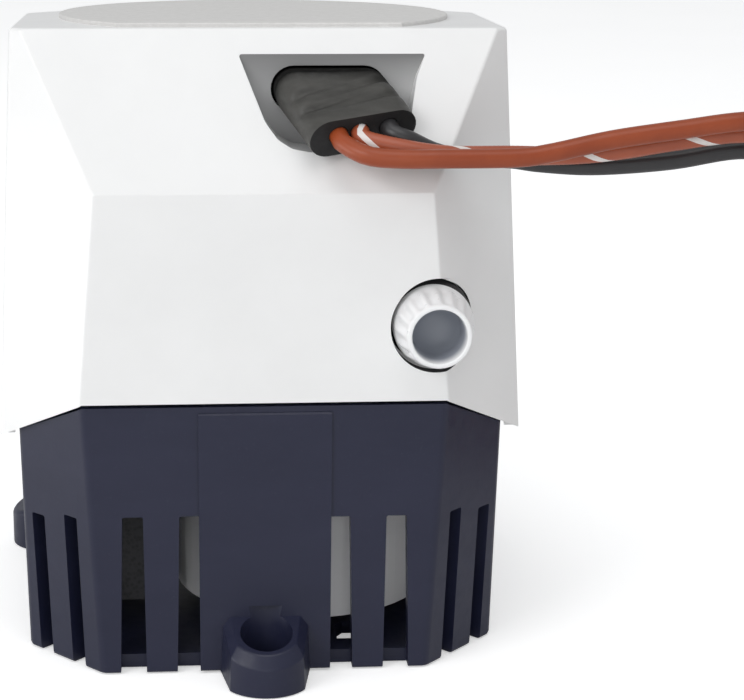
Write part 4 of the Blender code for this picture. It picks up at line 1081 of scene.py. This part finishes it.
def make_strap():
    """A rubber strap round the coil, with a raised keeper over its overlap."""
    turn = radians(-35)
    out = Vector((cos(turn), sin(turn), 0))
    side = Vector((-out.y, out.x, 0))
    centre = Vector((*COIL, 0))

    def loop(grow, z0, z1, r):
        a, b = COIL_R - COIL_HALF - grow, COIL_R + COIL_HALF + grow
        return rounded([(a, z0), (b, z0), (b, z1), (a, z1)], r, 6)

    def frame_at(outline, s):
        return [centre + out * u + side * s + Vector((0, 0, z)) for u, z in outline]

    full = 0.95
    outer = [frame_at(loop(g, 0.05 + (full - g), 11.5 - (full - g), 2.2), s)
             for g, s in ((0.85, -3.5), (full, -3.35), (full, 3.35), (0.85, 3.5))]
    obj = as_object("lead_strap", loft(outer))
    carve(obj, ("cut", loft([frame_at(loop(0.35, 0.57, 10.95, 1.9), s) for s in (-6, 6)])))
    left, right, low, high = COIL_R - 3.4, COIL_R + 2.2, 10.9, 11.48
    keeper = rounded([(left, low), (right, low), (right, high), (left, high)], 0.25, 3)
    carve(obj, ("join", loft([frame_at(keeper, s) for s in (-3.9, 3.9)])))
    return dress(obj, SEAL, "pump", "black_rubber", "coil_strap", angle=35.0)


# ---- outlet and its screws

def make_nozzle():
    """The barbed hose nozzle with its flange, and the two screws that hold it."""
    barbs = []
    for y in (63.0, 68.2, 73.4):
        barbs += [(9.1, y - 0.25), (9.2, y), (9.7, y + 0.22), (9.8, y + 0.5), (9.76, y + 0.8),
                  (9.1, y + 4.4)]
    flange = [(10.2, 40.2), (12.2, 40.2), (12.4, 40.4), (12.4, 46.2), (18.7, 46.2), (19.0, 46.5),
              (19.0, 48.8), (18.85, 49.08), (18.6, 49.2), (13.2, 49.2), (12.6, 49.4), (12.4, 50.0),
              (12.4, 56.6), (12.3, 57.0), (9.4, 60.2), (9.1, 60.8)]
    end = [(9.0, 78.4), (8.6, 79.4), (8.35, 79.6), (7.25, 79.6), (7.0, 79.35), (7.0, 59.5), (10.2, 56.0)]
    obj = as_object("hose_nozzle", lathe(flange + barbs + end, (0, OUTLET_Z), "Y", 112))
    sunk = [(0, 44), (1.7, 44), (1.7, 48.6), (2.1, 49.3), (2.1, 52), (0, 52)]
    carve(obj, ("cut", merged(*[lathe(sunk, (x, OUTLET_Z), "Y", 28) for x in FLANGE_SCREWS])))
    dress(obj, WHITE, "pump", "white_plastic", "discharge_nozzle", angle=30.0, weighted=False)
    head = [(0, 51.1), (0.9, 51.08), (1.9, 50.8), (2.45, 50.2), (2.6, 49.7), (2.6, 49.5), (1.4, 49.5),
            (1.4, 38.7), (0, 37.5)]
    for x, tag in zip(FLANGE_SCREWS, ("left", "right")):
        screw = as_object("nozzle_fastener_" + tag, lathe(head, (x, OUTLET_Z), "Y", 40))
        for wide, high in ((1.4, 0.3), (0.3, 1.4)):
            carve(screw, ("cut", box((x - wide, 50.1, OUTLET_Z - high), (x + wide, 53, OUTLET_Z + high))))
        dress(screw, STEEL, "pump", "stainless_steel", "nozzle_screw_" + tag, angle=30.0)


# ---- floor, light and world

SKY, FLOOR_GLOW = 0.54, 0.40
LIGHTS = {  # place and disk size in metres, and power
    "key": ((-0.95, -0.80, 0.75), 0.7, 5.75),
    "top": ((0.0, -0.45, 1.3), 1.0, 4.25),
    "side": ((-0.75, -0.05, 0.08), 0.5, 0.45),
    "sheen": ((-0.30, -0.08, 0.03), 0.16, 0.25),  # seen only as a reflection
    "fill": ((-0.1, -1.1, 0.3), 0.7, 1.1),
}


def make_floor():
    """Pale paper that glows a little for the camera alone, so that it comes out almost white."""
    bm = bmesh.new()
    bmesh.ops.create_grid(bm, x_segments=1, y_segments=1, size=12000)
    bmesh.ops.translate(bm, verts=bm.verts, vec=(0, 0, -0.2))
    floor = as_object("floor", bm)
    m = Nodes("floor_paper", 0.75, specular=0.2)
    m.colour(m.mottle(m.noise(9.0, 3.0), (0.93, 0.93, 0.93), (0.91, 0.91, 0.91)))
    m.shader.inputs["Emission Color"].default_value = (1, 1, 1, 1)
    seen = m.node("Math", operation="MULTIPLY")
    seen.inputs[1].default_value = FLOOR_GLOW
    m.link(m.node("LightPath").outputs["Is Camera Ray"], seen.inputs[0])
    m.link(seen.outputs[0], m.shader.inputs["Emission Strength"])
    floor.data.materials.append(m.made)


def make_lights():
    world = bpy.data.worlds.new("studio")
    world.use_nodes = True
    sky = world.node_tree.nodes["Background"]
    sky.inputs["Color"].default_value = (0.97, 0.985, 1.0, 1.0)
    sky.inputs["Strength"].default_value = SKY
    scene.world = world
    target = Vector((0.0, 0.0, 0.06))
    for name, (place, size, power) in LIGHTS.items():
        data = bpy.data.lights.new(name, "AREA")
        data.shape, data.size, data.energy = "DISK", size, power
        light = bpy.data.objects.new(name, data)
        scene.collection.objects.link(light)
        light.location = place
        light.visible_camera = False
        light.visible_diffuse = name != "sheen"
        light.rotation_mode = "QUATERNION"
        light.rotation_quaternion = (target - Vector(place)).to_track_quat("-Z", "Y")
    scene.view_settings.view_transform = "Standard"


make_floor()
make_lights()
make_strainer()
make_tabs()
make_cover()
make_label()
make_knob()
make_gland()
make_wires(make_strap())
make_nozzle()
